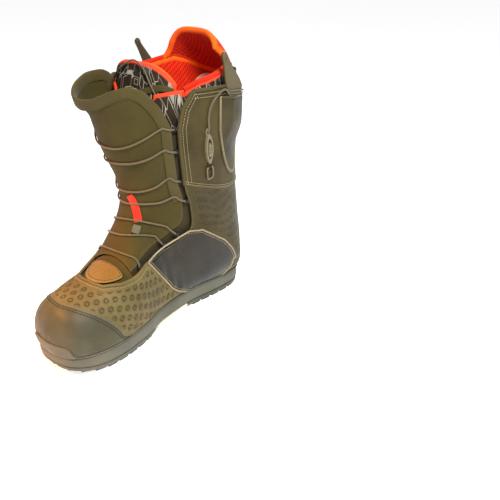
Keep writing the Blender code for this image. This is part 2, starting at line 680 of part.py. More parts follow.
def make_liner():
    outer = -LINER_GAP
    form = LINER_FORM

    def liner_floor(u):
        return form.floor_angle(u, SOLE_TOP + 9.5)

    def point(u, t, out):
        p = form.at(u, t, out)
        p.z = max(p.z, SOLE_TOP + 3 + GAP + (LINER if out < outer - 1 else 0))
        return p

    def skin(out):
        rows = []
        for i in range(LINER_ROWS):
            line = []
            for j in range(LINER_COLUMNS):
                side = 2 * j / (LINER_COLUMNS - 1) - 1
                u = LINER_TOE + (liner_top(side) - LINER_TOE) * i / (LINER_ROWS - 1)
                half = liner_throat(u)
                t = (180 - half) * side
                line.append(point(u, t, out))
            rows.append(line)
        return rows

    outside, inside = skin(outer), skin(outer - LINER)
    bm = bmesh.new()
    verts = [[[bm.verts.new(to_world(p)) for p in row] for row in grid] for grid in (outside, inside)]
    rows, columns = LINER_ROWS, LINER_COLUMNS
    for grid, turn in ((verts[0], 1), (verts[1], -1)):
        for i in range(rows - 1):
            for j in range(columns - 1):
                face = (grid[i][j], grid[i][j + 1], grid[i + 1][j + 1], grid[i + 1][j])
                bm.faces.new(face[::turn])
    for i in range(rows - 1):
        for j in (0, columns - 1):
            face = (verts[0][i][j], verts[0][i + 1][j], verts[1][i + 1][j], verts[1][i][j])
            if liner_throat(LINER_TOE + (LINER_TOP - LINER_TOE) * (i + 1) / (rows - 1)) > 0:
                bm.faces.new(face if j == 0 else face[::-1])
    for j in range(columns - 1):
        bm.faces.new((verts[0][-1][j], verts[0][-1][j + 1], verts[1][-1][j + 1], verts[1][-1][j]))
    for grid, turn in ((verts[0], 1), (verts[1], -1)):
        cap = [grid[0][j] for j in range(columns - 1)]
        middle = bm.verts.new(sum((v.co for v in cap), Vector()) / len(cap))
        for a, b in zip(cap, cap[1:] + cap[:1]):
            bm.faces.new((middle, b, a)[::turn])
    bmesh.ops.remove_doubles(bm, verts=bm.verts, dist=.05 * MM)
    bmesh.ops.recalc_face_normals(bm, faces=bm.faces)
    mesh = bpy.data.meshes.new("liner_boot")
    bm.to_mesh(mesh)
    bm.free()
    add("liner_boot", mesh, "liner_mesh")

    panel("liner_tongue", "liner_fabric", (constant(5.0), liner_tongue_top),
          (liner_tongue_edge, constant(180)), outer - LINER, LINER - .5, (16, 6), form=form, both=True)
    flap = []
    for v in np.linspace(0, 1, 9):
        line = []
        for side in np.linspace(-1, 1, 9):
            base = form.at(liner_top(side * FLAP_WRAP / 113) + .09, side * FLAP_WRAP, outer - LINER)
            crest = Vector((30 * side, 103 - 13 * side ** 2, 346 - 24 * abs(side) ** 3))
            line.append(base + (crest - base) * v + Vector((0, 5 * math.sin(math.pi * v), 0)))
        flap.append(line)
    mesh = grid_mesh("liner_back_flap", [flap])
    face_outwards(mesh, form)
    solidify(add("liner_back_flap", mesh, "liner_mesh"), 6)
    panel("heel_hold_pad", "pad_foam", (constant(13.6), constant(15.1)), (constant(0), constant(34)),
          outer - LINER - 9, 8, (4, 4), form=form, both=True)
    rows = [(14.85, -44, 0), (15.0, -25, 3), (14.9, 0, 3.2), (15.0, 25, 3), (14.85, 44, 0)]
    cord = [form.at(u, 180 - t, outer + 1.6 + lift) for u, t, lift in rows]
    tube("liner_lace", "lace_cord", smooth(cord, 3), .9, sides=1)
    lock = form.place(14.3, 180, outer + .4)
    ring_block("liner_lace_lock", "lock_plastic", oval(14, 20, 14, 3), oval(8, 8, 14, 2), lock, 6)
    button_top = 6 + BUTTON_OUT
    block("liner_lock_button", "lock_plastic", oval(7, 7, 14, 2), lock, button_top - BUTTON_TALL, button_top)


# ---- joints --------------------------------------------------------------------------------------

def pivot(name, place, pieces):
    """An empty on a joint's axis, which carries the pieces that move on it."""
    empty = bpy.data.objects.new(name, None)
    PARTS.objects.link(empty)
    empty.location = to_world(place)
    for piece in pieces:
        moving = bpy.data.objects[piece]
        moving.parent = empty
        moving.location = -empty.location


def make_pivots():
    pivot("tongue_pivot", (0, -TONGUE_HINGE[0], TONGUE_HINGE[1]),
          ("shell_tongue", "tongue_binding", "tab_ribbon"))
    pivot("liner_tongue_pivot", (0, -LINER_TONGUE_HINGE[0], LINER_TONGUE_HINGE[1]),
          ("liner_tongue", "liner_lace", "liner_lace_lock"))
    pivot("button_pivot", LINER_FORM.at(14.3, 180, -LINER_GAP), ("liner_lock_button",))
    pivot("tip_pivot", SHELL_FORM.place(6.78, 154.5, 0) @ Vector((0, 5, .9)), ("tab_tip",))
    for side, name in ((1, "medial"), (-1, "lateral")):
        lock = SHELL_FORM.place(LOCK_AT[0], side_angle(LOCK_AT[1], side), GAP + .6)
        pivot(name + "_cam_pivot", lock @ Vector((0, -8, .5)), (name + "_lock_cam",))
        ring = SHELL_FORM.place(RING_AT[0], side_angle(RING_AT[1], side), GAP + 1.9)
        pivot(name + "_ring_pivot", ring @ Vector((0, 7.5, 0)), (name + "_lock_ring",))
        handle = upright(HANDLE_AT[0], side_angle(HANDLE_AT[1], side), 6.0)
        pivot(name + "_handle_pivot", handle.translation, (name + "_pull_handle",))


def clear_scene():
    for obj in list(bpy.data.objects):
        bpy.data.objects.remove(obj)


clear_scene()
PARTS = collection("snowboard_boot")
make_sole()
make_upper()
make_tongue()
make_laces()
for side, name in ((1, "medial"), (-1, "lateral")):
    make_lock(side, name)
    make_handle(side, name)
make_liner()
make_pivots()
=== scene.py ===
"""Looks of the snowboard boot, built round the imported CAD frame.

The shell and the liner follow swept forms, as in the CAD model. A place on a form is (u, t): u counts its
sections from the toe tip (0) to the rim (15), and t is the angle round a section in degrees: 0 at the sole
or the back of the heel, 90 medial, 180 at the instep or shin, 270 lateral. Lengths are millimetres until
they reach a mesh. Each panel is a fine grid on the form, with relief worked into its vertices.
"""
import math

import bmesh
import bpy
import numpy as np
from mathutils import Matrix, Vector, kdtree


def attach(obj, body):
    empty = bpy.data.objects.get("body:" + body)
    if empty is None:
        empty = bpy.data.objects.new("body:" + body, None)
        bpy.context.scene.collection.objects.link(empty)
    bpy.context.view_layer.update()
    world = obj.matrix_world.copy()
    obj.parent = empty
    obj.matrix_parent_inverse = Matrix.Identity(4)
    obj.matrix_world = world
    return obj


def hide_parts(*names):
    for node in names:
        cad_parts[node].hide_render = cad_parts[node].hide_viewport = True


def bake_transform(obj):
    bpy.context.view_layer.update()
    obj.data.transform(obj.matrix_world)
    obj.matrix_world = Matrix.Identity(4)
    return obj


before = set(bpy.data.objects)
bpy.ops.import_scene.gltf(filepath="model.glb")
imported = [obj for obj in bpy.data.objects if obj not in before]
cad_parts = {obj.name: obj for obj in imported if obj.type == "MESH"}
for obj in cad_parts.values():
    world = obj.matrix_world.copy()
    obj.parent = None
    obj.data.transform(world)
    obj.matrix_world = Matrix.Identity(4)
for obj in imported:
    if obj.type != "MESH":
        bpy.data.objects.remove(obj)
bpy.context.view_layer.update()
MM = 0.001
CENTRE = np.array((0.0, 2.0, 0.0))    # the form's frame to the CAD's, in millimetres
SOLE_TOP, TOE_SPRING = 26.0, 9.0
SHELL = 2.5
LINER_GAP, LINER = 7.0, 6.0
LACE_R = 1.15

U_SCALE = 30    # millimetres that one u is worth where a line of (u, t) is measured
LATTICE_END, PER_SECTION, LATTICE_ANGLE = 16.5, 10, 2

# Each section, from the toe tip to the rim: its back's place forwards and upwards, its front's, its medial
# and lateral half widths, its sideways shift, the share of its depth where it is widest, and the powers of
# its curves behind and before that.
SECTIONS = (
    (154, 46, 154, 46, 0, 0, 10, .40, 2.3, 2.2),
    (150, 26, 147, 68, 23, 30, 10, .38, 2.6, 2.2),
    (140, 22, 133, 81, 38, 46, 9, .34, 3.0, 2.2),
    (118, 20, 98, 89, 49, 53, 6, .30, 3.4, 2.2),
    (85, 20, 65, 96, 53, 54, 3, .28, 3.6, 2.2),
    (45, 20, 44, 108, 50, 55, 0, .26, 3.6, 2.1),
    (0, 20, 34, 126, 39, 54, -1, .28, 3.4, 2.1),
    (-55, 20, 25, 146, 35, 50, -1, .32, 3.2, 2.1),
    (-112, 20, 21, 166, 43, 49, 0, .38, 3.1, 2.1),
    (-150, 26, 22, 182, 49, 51, 0, .42, 2.8, 2.1),
    (-156, 65, 25, 198, 52, 53, 0, .46, 2.4, 2.1),
    (-153, 100, 32, 215, 55, 56, 0, .50, 2.3, 2.1),
    (-148, 145, 40, 235, 59, 59, 0, .50, 2.2, 2.1),
    (-145, 195, 47, 260, 62, 62, 0, .50, 2.2, 2.1),
    (-147, 245, 54, 285, 65, 65, 0, .50, 2.2, 2.1),
    (-150, 295, 61, 310, 67, 67, 0, .50, 2.2, 2.1),
)
RIM = len(SECTIONS) - 1
BUMPER_HEIGHT = ((0, 39), (.9, 39.5), (1.15, 38), (1.5, 31), (1.9, 28), (9, 28))
LINER_LEAN = ((0, 0), (9, 0), (10, 5), (11, 12), (12, 22), (13, 32), (14, 44), (15, 57), (16, 72))
THROAT = ((3.15, 0), (3.2, 9), (3.35, 22), (4.0, 36), (4.6, 43), (6.1, 56), (7.3, 64), (8.5, 68),
          (13.5, 69), (14.2, 73), (14.7, 80), (15, 88))
THROAT_REACH = ((4, 3), (6, 1))
TONGUE_MARGIN = ((8, 9), (10, 6.5))
TONGUE_FOOT = 4.75
TONGUE_RIM = ((0, 13.5), (.1, 14.2), (.25, 14.78), (.42, 14.95), (.63, 14.75), (1, 14.25))
LATERAL_RIM = ((0, 14.75), (.05, 14.9), (.12, 15.0), (.3, 14.95), (.45, 14.75), (.65, 14.4), (.8, 14.2),
               (1, 14.25))
LATERAL_WRAP = 15.0    # degrees that the tongue's lateral top reaches further back than the lace line
SIDE_BACK = ((0, 7.95), (.17, 8.14), (.48, 8.81), (.65, 9.25), (.75, 9.36), (.92, 9.16), (1, 8.6))
CUFF_SEAM = ((0, 12.4), (.45, 12.0), (1, 11.2))
MEDIAL_GUIDES = (13.45, 12.6, 11.3, 10.15, 7.95, 7.2, 5.5)
LATERAL_GUIDES = (13.2, 11.9, 10.9, 10.1, 7.3, 6.5, 5.4)
STRAND_DIPS = (1.3, 1.2, 2.3, 2.25, .7, .8, .4)
LACE_OVER, LACE_UNDER, TURN_IN = 1.5, -4.7, 7.0
LOCK_AT, RING_AT, HANDLE_AT = (12.95, 88), (12.15, 88), (14.35, 60)
SIDES = ((1, "medial"), (-1, "lateral"))


# ---- the swept form --------------------------------------------------------------------------------

def curve_value(points, x):
    """The value at x of straight runs through (x, value) points."""
    return np.interp(x, [p[0] for p in points], [p[1] for p in points])


def unit(v):
    return v / np.maximum(np.linalg.norm(v, axis=-1, keepdims=True), 1e-9)


def ramp(x, start, length):
    """0 up to start, 1 from start + length on, and straight between them."""
    return np.clip((x - start) / length, 0, 1)


def smooth(share):
    return share * share * (3 - 2 * share)


def bell(x, middle, width):
    return np.exp(-((x - middle) / width) ** 2)


class Form:
    """The swept surface, for arrays of places."""

    def __init__(self, lean=((0, 0), (16, 0))):
        rows = np.array(SECTIONS, float)
        for u, row in enumerate(rows):
            back = curve_value(lean, u)
            row[7] *= (row[2] - row[0]) / (row[2] - row[0] - back) if back else 1
            row[2] -= back
        before = rows[1].copy()
        before[:4] = rows[1][[2, 3, 0, 1]]
        before[4:6] *= -1
        self.rows = np.vstack([before, rows, 2 * rows[-1] - rows[-2], 3 * rows[-1] - 2 * rows[-2]])
        lattice_u = np.linspace(0, LATTICE_END, int(LATTICE_END * PER_SECTION) + 1)
        lattice_t = np.linspace(0, 360, 360 // LATTICE_ANGLE + 1)
        points = self.point(lattice_u[:, None], lattice_t[None, :])
        across = np.linalg.norm(np.diff(points, axis=1), axis=2).cumsum(1)
        across = np.hstack([np.zeros((len(points), 1)), across])
        front = 180 // LATTICE_ANGLE
        self.across = across - across[:, front:front + 1]
        along = np.linalg.norm(np.diff(points, axis=0), axis=2).cumsum(0)
        self.along = np.vstack([np.zeros((1, len(lattice_t))), along])

    def section(self, u):
        u = np.asarray(u, float)
        i = np.clip(u.astype(int), 0, RIM)
        s = (u - i)[..., None]
        p0, p1, p2, p3 = (self.rows[i + k] for k in range(4))
        row = ((2 * s**3 - 3 * s**2 + 1) * p1 + (s**3 - 2 * s**2 + s) * (p2 - p0) / 2
               + (3 * s**2 - 2 * s**3) * p2 + (s**3 - s**2) * (p3 - p1) / 2)
        return np.moveaxis(row, -1, 0)

    def point(self, u, t):
        u, t = np.broadcast_arrays(np.asarray(u, float), np.asarray(t, float))
        back_f, back_z, front_f, front_z, medial, lateral, shift, belly, low, high = self.section(u)
        c, s = np.cos(np.radians(t)), np.sin(np.radians(t))
        full = np.where(c >= 0, low, high)
        c_part, side = np.abs(c) ** (2 / full), np.abs(s) ** (2 / full)
        rise = np.where(c >= 0, belly * (1 - c_part), belly + (1 - belly) * c_part)
        half = np.where(s >= 0, medial, -lateral)
        return np.stack([shift + half * side, -(back_f + (front_f - back_f) * rise),
                         back_z + (front_z - back_z) * rise], -1)

    def slopes(self, u, t):
        """The surface's directions along u and along t, by small steps to both sides."""
        u, t = np.broadcast_arrays(np.asarray(u, float), np.asarray(t, float))
        high, low = np.minimum(u + .04, 16.9), np.maximum(u - .04, .02)
        return ((self.point(high, t) - self.point(low, t)) / (high - low)[..., None],
                (self.point(u, t + 1.5) - self.point(u, t - 1.5)) / 3)

    def normal(self, u, t):
        u, t = np.broadcast_arrays(np.asarray(u, float), np.asarray(t, float))
        along, around = self.slopes(np.maximum(u, .15), t)
        out = np.cross(around, along)
        outward = self.point(u, t) - (self.point(u, 0) + self.point(u, 180)) / 2
        sign = np.sign((out * outward).sum(-1, keepdims=True))
        return unit(out * np.where(sign == 0, 1, sign))

    def at(self, u, t, out=0.0):
        return self.point(u, t) + self.normal(u, t) * np.asarray(out, float)[..., None]

    def floor_angle(self, u, height=SOLE_TOP):
        _, back_z, _, front_z, _, _, _, belly, low, _ = self.section(u)
        share = (height - back_z) / np.maximum(front_z - back_z, 1e-6) / belly
        return np.degrees(np.arccos(np.clip(1 - np.maximum(share, 0), 0, 1) ** (low / 2)))

    def flat(self, u, t):
        """The surface's own coordinates in millimetres: across from the front line, along from the toe."""
        row, column = np.broadcast_arrays(np.asarray(u, float) * PER_SECTION,
                                          np.mod(np.asarray(t, float), 360) / LATTICE_ANGLE)
        i = np.clip(row.astype(int), 0, self.across.shape[0] - 2)
        j = np.clip(column.astype(int), 0, self.across.shape[1] - 2)
        a, b = np.clip(row - i, 0, 1), np.clip(column - j, 0, 1)
        found = []
        for table in (self.across, self.along):
            low = table[i, j] * (1 - b) + table[i, j + 1] * b
            high = table[i + 1, j] * (1 - b) + table[i + 1, j + 1] * b
            found.append(low * (1 - a) + high * a)
        return np.stack(found, -1)

    def beside(self, u, t, distance):
        """The line of places (u, t) moved sideways over the surface, to the left when walking along it."""
        p = self.point(u, t)
        along, around = self.slopes(u, t)
        side = unit(np.cross(self.normal(u, t), np.gradient(p, axis=0)))
        aa, ab, bb = (along * along).sum(-1), (along * around).sum(-1), (around * around).sum(-1)
        x, y = (side * along).sum(-1) * distance, (side * around).sum(-1) * distance
        det = aa * bb - ab * ab
        return u + (x * bb - y * ab) / det, t + (y * aa - x * ab) / det

    def place(self, u, t, out):
        """Origin, X across towards larger t, Y up along the form and Z outwards, at one place."""
        z = self.normal(u, t)
        up = self.point(u + .05, t) - self.point(u - .05, t)
        up = unit(up - z * (up @ z))
        return self.at(u, t, out), np.cross(up, z), up, z


FORM = Form()
LINER_FORM = Form(LINER_LEAN)


def throat(u):
    return curve_value(THROAT, u)


def throat_edge(u):
    return 180 - throat(u)


def tongue_edge(u):
    return 180 - throat(np.minimum(u, 13.5)) + curve_value(TONGUE_MARGIN, u)


def toe_seam(b):
    return 2.0 + 2.95 * (1 - b) ** 1.6


def side_front(b):
    return 6.95 - .85 * b


def side_back(b):
    return curve_value(SIDE_BACK, b)


def cuff_seam(b):
    return curve_value(CUFF_SEAM, b)


def mirrored(t, side):
    return t if side > 0 else 360 - t


# ---- meshes ----------------------------------------------------------------------------------------

def new_object(name, points, faces, uv=None, wear=None, dent_shade=None, smooth=True, sharp=None):
    """An object from points in millimetres. uv is per point, in millimetres, and stored in metres.

    Edges that turn by more than sharp degrees are drawn sharp.
    """
    points = np.asarray(points, float)
    mesh = bpy.data.meshes.new(name)
    mesh.from_pydata(((points - CENTRE) * MM).tolist(), [], faces)
    mesh.validate()
    if smooth:
        mesh.shade_smooth()
    if sharp:
        mesh.set_sharp_from_angle(angle=math.radians(sharp))
    if uv is not None:
        layer = mesh.uv_layers.new(name="flat")
        index = np.empty(len(mesh.loops), np.int32)
        mesh.loops.foreach_get("vertex_index", index)
        layer.data.foreach_set("uv", (np.asarray(uv)[index] * MM).astype(np.float32).ravel())
    # The second mask is painted shade in the grooves of dimples.
    for label, values in (("wear", wear), ("dent_shade", dent_shade)):
        if values is not None:
            mesh.attributes.new(label, "FLOAT", "POINT").data.foreach_set("value", values.astype(np.float32))
    made = bpy.data.objects.new(name, mesh)
    bpy.context.scene.collection.objects.link(made)
    return made


def piece(obj, body, slot, material=None, stands_for=()):
    """Says what a new object rides on, its finish, and which CAD nodes it stands for."""
    obj.data.materials.clear()
    obj.data.materials.append(LOOKS[material or slot])
    if body:
        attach(obj, body)
    if stands_for:
        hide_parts(*stands_for)
    return obj


def spaced(count, ends=.7):
    """Shares from 0 to 1, closer together at both ends."""
    x = np.linspace(0, 1, count)
    return x - ends * np.sin(2 * math.pi * x) / (2 * math.pi)


def grid_shares(rows, columns, ends=.7):
    """Shares from 0 to 1 down the rows of a grid and across its columns."""
    return spaced(rows, ends)[:, None], spaced(columns, ends)[None, :]


def grid_faces(rows, columns, keep=None):
    faces = []
    for i in range(rows - 1):
        for j in range(columns - 1):
            if keep is None or keep[i, j]:
                a = i * columns + j
                faces.append((a, a + 1, a + columns + 1, a + columns))
    return faces


def tube_faces(rings, around, closed=False):
    """Faces between rings of points, with both ends capped unless the last ring meets the first."""
    faces = []
    for i in range(rings if closed else rings - 1):
        near, far = i * around, (i + 1) % rings * around
        for j in range(around):
            k = (j + 1) % around
            faces.append((near + j, near + k, far + k, far + j))
    if not closed:
        faces.append(tuple(range(around))[::-1])
        faces.append(tuple(range((rings - 1) * around, rings * around)))
    return faces


def turned(faces):
    return [face[::-1] for face in faces]


def joined(points, faces):
    """Points that meet made one, with the faces that keep three or more corners."""
    cells = np.round(points / .02).astype(int)
    _, first, index = np.unique(cells, axis=0, return_index=True, return_inverse=True)
    index = index.ravel()
    kept = []
    for face in faces:
        corners = list(dict.fromkeys(index[list(face)].tolist()))
        if len(corners) > 2:
            kept.append(tuple(corners))
    return first, kept


def open_edge_distance(points, faces):
    """Each point's distance to the surface's open edges."""
    count = {}
    for face in faces:
        for a, b in zip(face, face[1:] + face[:1]):
            key = (a, b) if a < b else (b, a)
            count[key] = count.get(key, 0) + 1
    edges = np.array([key for key, n in count.items() if n == 1])
    samples = np.concatenate([points[edges[:, 0]] * (1 - s) + points[edges[:, 1]] * s for s in (0, .34, .67)])
    tree = kdtree.KDTree(len(samples))
    for k, p in enumerate(samples):
        tree.insert(p, k)
    tree.balance()
    return np.array([tree.find(p)[2] for p in points])


def no_relief(distance, flat):
    return 0 * distance


def skin(name, u, t, out, thickness, rounding=1.2, relief=no_relief, keep=None, dent_shade_mask=None):
    """A sheet on the form from grids of u and t, with rounded open edges and relief(edge distance, flat). Its
    last argument gives a mask of painted shade in the grooves of dimples.
    """
    base = FORM.at(u, t, np.broadcast_to(out, u.shape)).reshape(-1, 3)
    first, faces = joined(base, grid_faces(*u.shape, keep))
    normal = FORM.normal(u, t).reshape(-1, 3)[first]
    flat = FORM.flat(u, t).reshape(-1, 2)[first]
    distance = open_edge_distance(base[first], faces)
    inside = ramp(distance, 0, rounding)
    lift = -rounding * (1 - np.sqrt(1 - (1 - inside) ** 2)) + relief(distance, flat)
    votes = 0
    for face in faces[::97]:
        a, b, c = (base[first[k]] for k in face[:3])
        votes += np.sign(np.cross(b - a, c - a) @ normal[face[0]])
    made = new_object(name, base[first] + normal * lift[:, None], turned(faces) if votes < 0 else faces, flat,
                      bell(distance, 0, 2.2), None if dent_shade_mask is None else dent_shade_mask(distance, flat))
    thick = made.modifiers.new("thickness", "SOLIDIFY")
    thick.thickness = thickness * MM
    thick.offset = -1
    return made


def side_grid(u_low, u_high, t_low, t_high, counts, side=1):
    """Grids of u and t on one side. u_low and u_high are functions of b, t_low and t_high of u.

    With no t_high the grid reaches the front line below the throat and bends round the throat above it.
    """
    r, b = grid_shares(*counts)
    u = u_low(b) + (u_high(b) - u_low(b)) * r
    if t_high:
        t = t_low(u) + (t_high(u) - t_low(u)) * b
    else:
        t = t_low(u) + (180 - t_low(u)) * b - throat(u) * b ** curve_value(THROAT_REACH, u)
    return u, mirrored(t, side)


def both_sides(grid, meet):
    """The grid and its mirror image side by side, meeting at t = meet, 0 or 180."""
    u, t = grid
    other = 360 - t
    if meet == 180:
        return np.hstack([u, u[:, ::-1]]), np.hstack([t, other[:, ::-1]])
    return np.hstack([u[:, ::-1], u]), np.hstack([other[:, ::-1] - 360, t])


def smooth_line(points, per_span=6):
    """Catmull-Rom points through the given ones, for arrays of any width."""
    p = np.asarray(points, float)
    p = np.vstack([2 * p[0] - p[1], p, 2 * p[-1] - p[-2]])
    line = []
    for a, b, c, d in zip(p, p[1:], p[2:], p[3:]):
        for k in range(per_span):
            s = k / per_span
            line.append(b + (c - a) * s / 2 + (2 * a - 5 * b + 4 * c - d) * s**2 / 2
                        + (3 * b - a - 3 * c + d) * s**3 / 2)
    return np.array([*line, p[-2]])


def evenly(points, step, *others):
    """Points a step apart along a line, and the same places on the lines of values beside it."""
    points = np.asarray(points, float)
    run = run_along(points)
    places = np.linspace(0, run[-1], max(2, int(round(run[-1] / step)) + 1))
    found = []
    for values in (points, *others):
        values = np.asarray(values, float)
        found.append(np.stack([np.interp(places, run, values[:, k]) for k in range(values.shape[1])], -1))
    return found


def frames_along(points, normals=None, closed=False):
    """A normal and a side direction at each point of a line."""
    if closed:
        tangent = unit(np.roll(points, -1, 0) - np.roll(points, 1, 0))
    else:
        tangent = unit(np.gradient(points, axis=0))
    if normals is None:
        first = np.cross(tangent[0], (0, 0, 1))
        if np.linalg.norm(first) < .2:
            first = np.cross(tangent[0], (1, 0, 0))
        normals = [unit(first)]
        for direction in tangent[1:]:
            normals.append(unit(normals[-1] - direction * (normals[-1] @ direction)))
        normals = np.array(normals)
    normals = unit(normals - tangent * (normals * tangent).sum(-1, keepdims=True))
    return normals, np.cross(tangent, normals)


def run_along(points):
    """How far along a line each of its points lies."""
    return np.concatenate([[0], np.linalg.norm(np.diff(points, axis=0), axis=1).cumsum()])


def sweep(name, points, profile, normals=None, closed=False, scale=None):
    """A solid bar along points. profile is a closed outline of (sideways, outwards) in millimetres."""
    points, profile = np.asarray(points, float), np.asarray(profile, float)
    normals, sides = frames_along(points, normals, closed)
    scale = (np.ones(len(points)) if scale is None else scale)[:, None, None]
    rings = (points[:, None] + sides[:, None] * (profile[None, :, :1] * scale)
             + normals[:, None] * (profile[None, :, 1:] * scale))
    uv = np.stack(np.broadcast_arrays(run_along(profile)[None, :], run_along(points)[:, None]), -1)
    return new_object(name, rings.reshape(-1, 3), tube_faces(len(points), len(profile), closed),
                      uv.reshape(-1, 2), sharp=50)


def circle(radius, count=12, flatten=1.0):
    a = np.linspace(0, 2 * math.pi, count, endpoint=False)
    return np.stack([radius * np.cos(a), radius * flatten * np.sin(a)], -1)


def rounded(width, height, power=4.0, count=20):
    a = np.linspace(0, 2 * math.pi, count, endpoint=False)
    c, s = np.cos(a), np.sin(a)
    return np.stack([np.sign(c) * np.abs(c) ** (2 / power) * width / 2,
                     np.sign(s) * np.abs(s) ** (2 / power) * height / 2], -1)


def stitches(name, lines, body, slot, material="thread", pitch=3.4, length=2.5, radius=.42):
    """Thread along lines, each (points, normals): a row of rounded grains half sunk into the surface."""
    rings, sides = 5, 6
    share = np.linspace(-1, 1, rings)[:, None]
    turn = np.linspace(0, 2 * math.pi, sides, endpoint=False)[None, :]
    fat = radius * np.sqrt(1 - (np.abs(share) * .93) ** 3)
    grain = np.stack(np.broadcast_arrays(share * length / 2, np.cos(turn) * fat, np.sin(turn) * fat), -1)
    grain = grain.reshape(-1, 3)
    points, faces = [], []
    for line, normal in lines:
        centre, up = evenly(line, pitch, normal)
        up, across = frames_along(centre, up)
        for c, n, s, d in zip(centre, up, across, np.cross(up, across)):
            start = len(points) * len(grain)
            points.append(c + grain[:, :1] * d + grain[:, 1:2] * s + grain[:, 2:] * n)
            faces += [tuple(start + k for k in face) for face in tube_faces(rings, sides)]
    return piece(new_object(name, np.concatenate(points), faces), body, slot, material)


def seam_line(u, t, inward, out, side=1, step=1.0):
    """A line on the form, mirrored to its side and moved sideways over the surface, as (points, normals).

    out is a height over the form, or a function of (u, t) that gives one. On the medial side a positive
    inward is to the right of the line as it runs in the plane of (t, u).
    """
    uv, = evenly(np.stack([u * U_SCALE, mirrored(t, side)], -1), step)
    u, t = uv[:, 0] / U_SCALE, uv[:, 1]
    if inward:
        u, t = FORM.beside(u, t, inward * side)
    return FORM.at(u, t, out(u, t) if callable(out) else out), FORM.normal(u, t)


# ---- materials -------------------------------------------------------------------------------------

class Finish:
    """A material whose colour, roughness and bump come from nodes."""

    def __init__(self, name, roughness, specular, sheen=0.0):
        self.material = bpy.data.materials.new(name)
        self.material.use_nodes = True
        self.tree = self.material.node_tree
        self.shader = self.tree.nodes["Principled BSDF"]
        self.shader.inputs["Roughness"].default_value = roughness
        self.shader.inputs["Specular IOR Level"].default_value = specular
        self.shader.inputs["Sheen Weight"].default_value = sheen
        coords = self.tree.nodes.new("ShaderNodeTexCoord")
        self.solid, self.flat = coords.outputs["Object"], coords.outputs["UV"]
        self.heights = []

    def node(self, kind, values=(), **settings):
        made = self.tree.nodes.new("ShaderNode" + kind)
        for key, value in settings.items():
            setattr(made, key, value)
        for key, value in dict(values).items():
            if isinstance(value, bpy.types.NodeSocket):
                self.tree.links.new(value, made.inputs[key])
            else:
                made.inputs[key].default_value = value
        return made

    def maths(self, operation, a, b=0.0, c=0.0):
        made = self.node("Math", operation=operation)
        for socket, value in zip(made.inputs, (a, b, c)):
            if isinstance(value, bpy.types.NodeSocket):
                self.tree.links.new(value, socket)
            else:
                socket.default_value = value
        return made.outputs[0]

    def noise(self, scale, detail=3.0):
        values = {"Vector": self.solid, "Scale": scale, "Detail": detail, "Roughness": .5}
        made = self.node("TexNoise", values)
        return made.outputs["Fac"]

    def stretch(self, value, low, high, to_low=0.0, to_high=1.0):
        made = self.node("MapRange", {"Value": value, "From Min": low, "From Max": high, "To Min": to_low,
                                      "To Max": to_high})
        return made.outputs["Result"]

    def mix(self, share, a, b):
        made = self.node("Mix", data_type="RGBA")
        for index, value in ((0, share), (6, a), (7, b)):
            socket = made.inputs[index]
            if isinstance(value, bpy.types.NodeSocket):
                self.tree.links.new(value, socket)
            else:
                socket.default_value = value if index == 0 else (*value, 1)
        return made.outputs[2]

    def point_value(self, label):
        return self.node("Attribute", attribute_name=label).outputs["Fac"]

    def cells(self, scale, coords, feature, randomness=1.0, output="Distance", distance="EUCLIDEAN"):
        values = {"Vector": coords, "Scale": scale, "Randomness": randomness}
        return self.node("TexVoronoi", values, feature=feature, distance=distance).outputs[output]

    def flat_times(self, rate_x, rate_y):
        """The two flat coordinates, each times its rate."""
        split = self.node("SeparateXYZ", {"Vector": self.flat})
        rates = enumerate((rate_x, rate_y))
        return [self.maths("MULTIPLY", split.outputs[axis], rate) for axis, rate in rates]

    def waves(self, per_metre_x, per_metre_y):
        """Sines of the flat coordinates, each from 0 to 1, as two values."""
        turns = self.flat_times(2 * math.pi * per_metre_x, 2 * math.pi * per_metre_y)
        return [self.maths("MULTIPLY_ADD", self.maths("SINE", turn), .5, .5) for turn in turns]

    def bump(self, height, strength, distance):
        values = {"Height": height, "Strength": strength, "Distance": distance}
        if self.heights:
            values["Normal"] = self.heights[-1]
        self.heights.append(self.node("Bump", values).outputs["Normal"])

    def done(self, colour, roughness=None):
        self.tree.links.new(colour, self.shader.inputs["Base Color"])
        if roughness is not None:
            self.tree.links.new(roughness, self.shader.inputs["Roughness"])
        if self.heights:
            self.tree.links.new(self.heights[-1], self.shader.inputs["Normal"])
        return self.material


def scaled(colour, by):
    return tuple(min(1, c * by) for c in colour)


def leather(name, dark, light, roughness, grain, depth, specular=.16, worn=.35):
    """Coated leather: mottled colour, pebbled grain, paler rubbed edges, and painted shade in the grooves of
    dimples. grain is in millimetres.
    """
    f = Finish(name, roughness, specular)
    fine = f.noise(420)
    colour = f.mix(f.stretch(f.noise(26, 4), .36, .66), dark, light)
    colour = f.mix(f.maths("MULTIPLY", fine, .35), colour, scaled(dark, .55))
    colour = f.mix(f.maths("MULTIPLY", f.point_value("wear"), worn), colour, scaled(light, 2.2))
    # Painted shade: darker colour in the grooves of the dimples.
    colour = f.mix(f.maths("MULTIPLY", f.point_value("dent_shade"), .85), colour, scaled(dark, .18))
    f.bump(f.cells(1000 / grain, f.solid, "SMOOTH_F1"), depth, .00035)
    f.bump(fine, .25, .0003)
    f.bump(f.noise(9, 2), .35, .003)
    return f.done(colour, f.stretch(f.noise(60, 4), .3, .7, roughness - .08, roughness + .1))


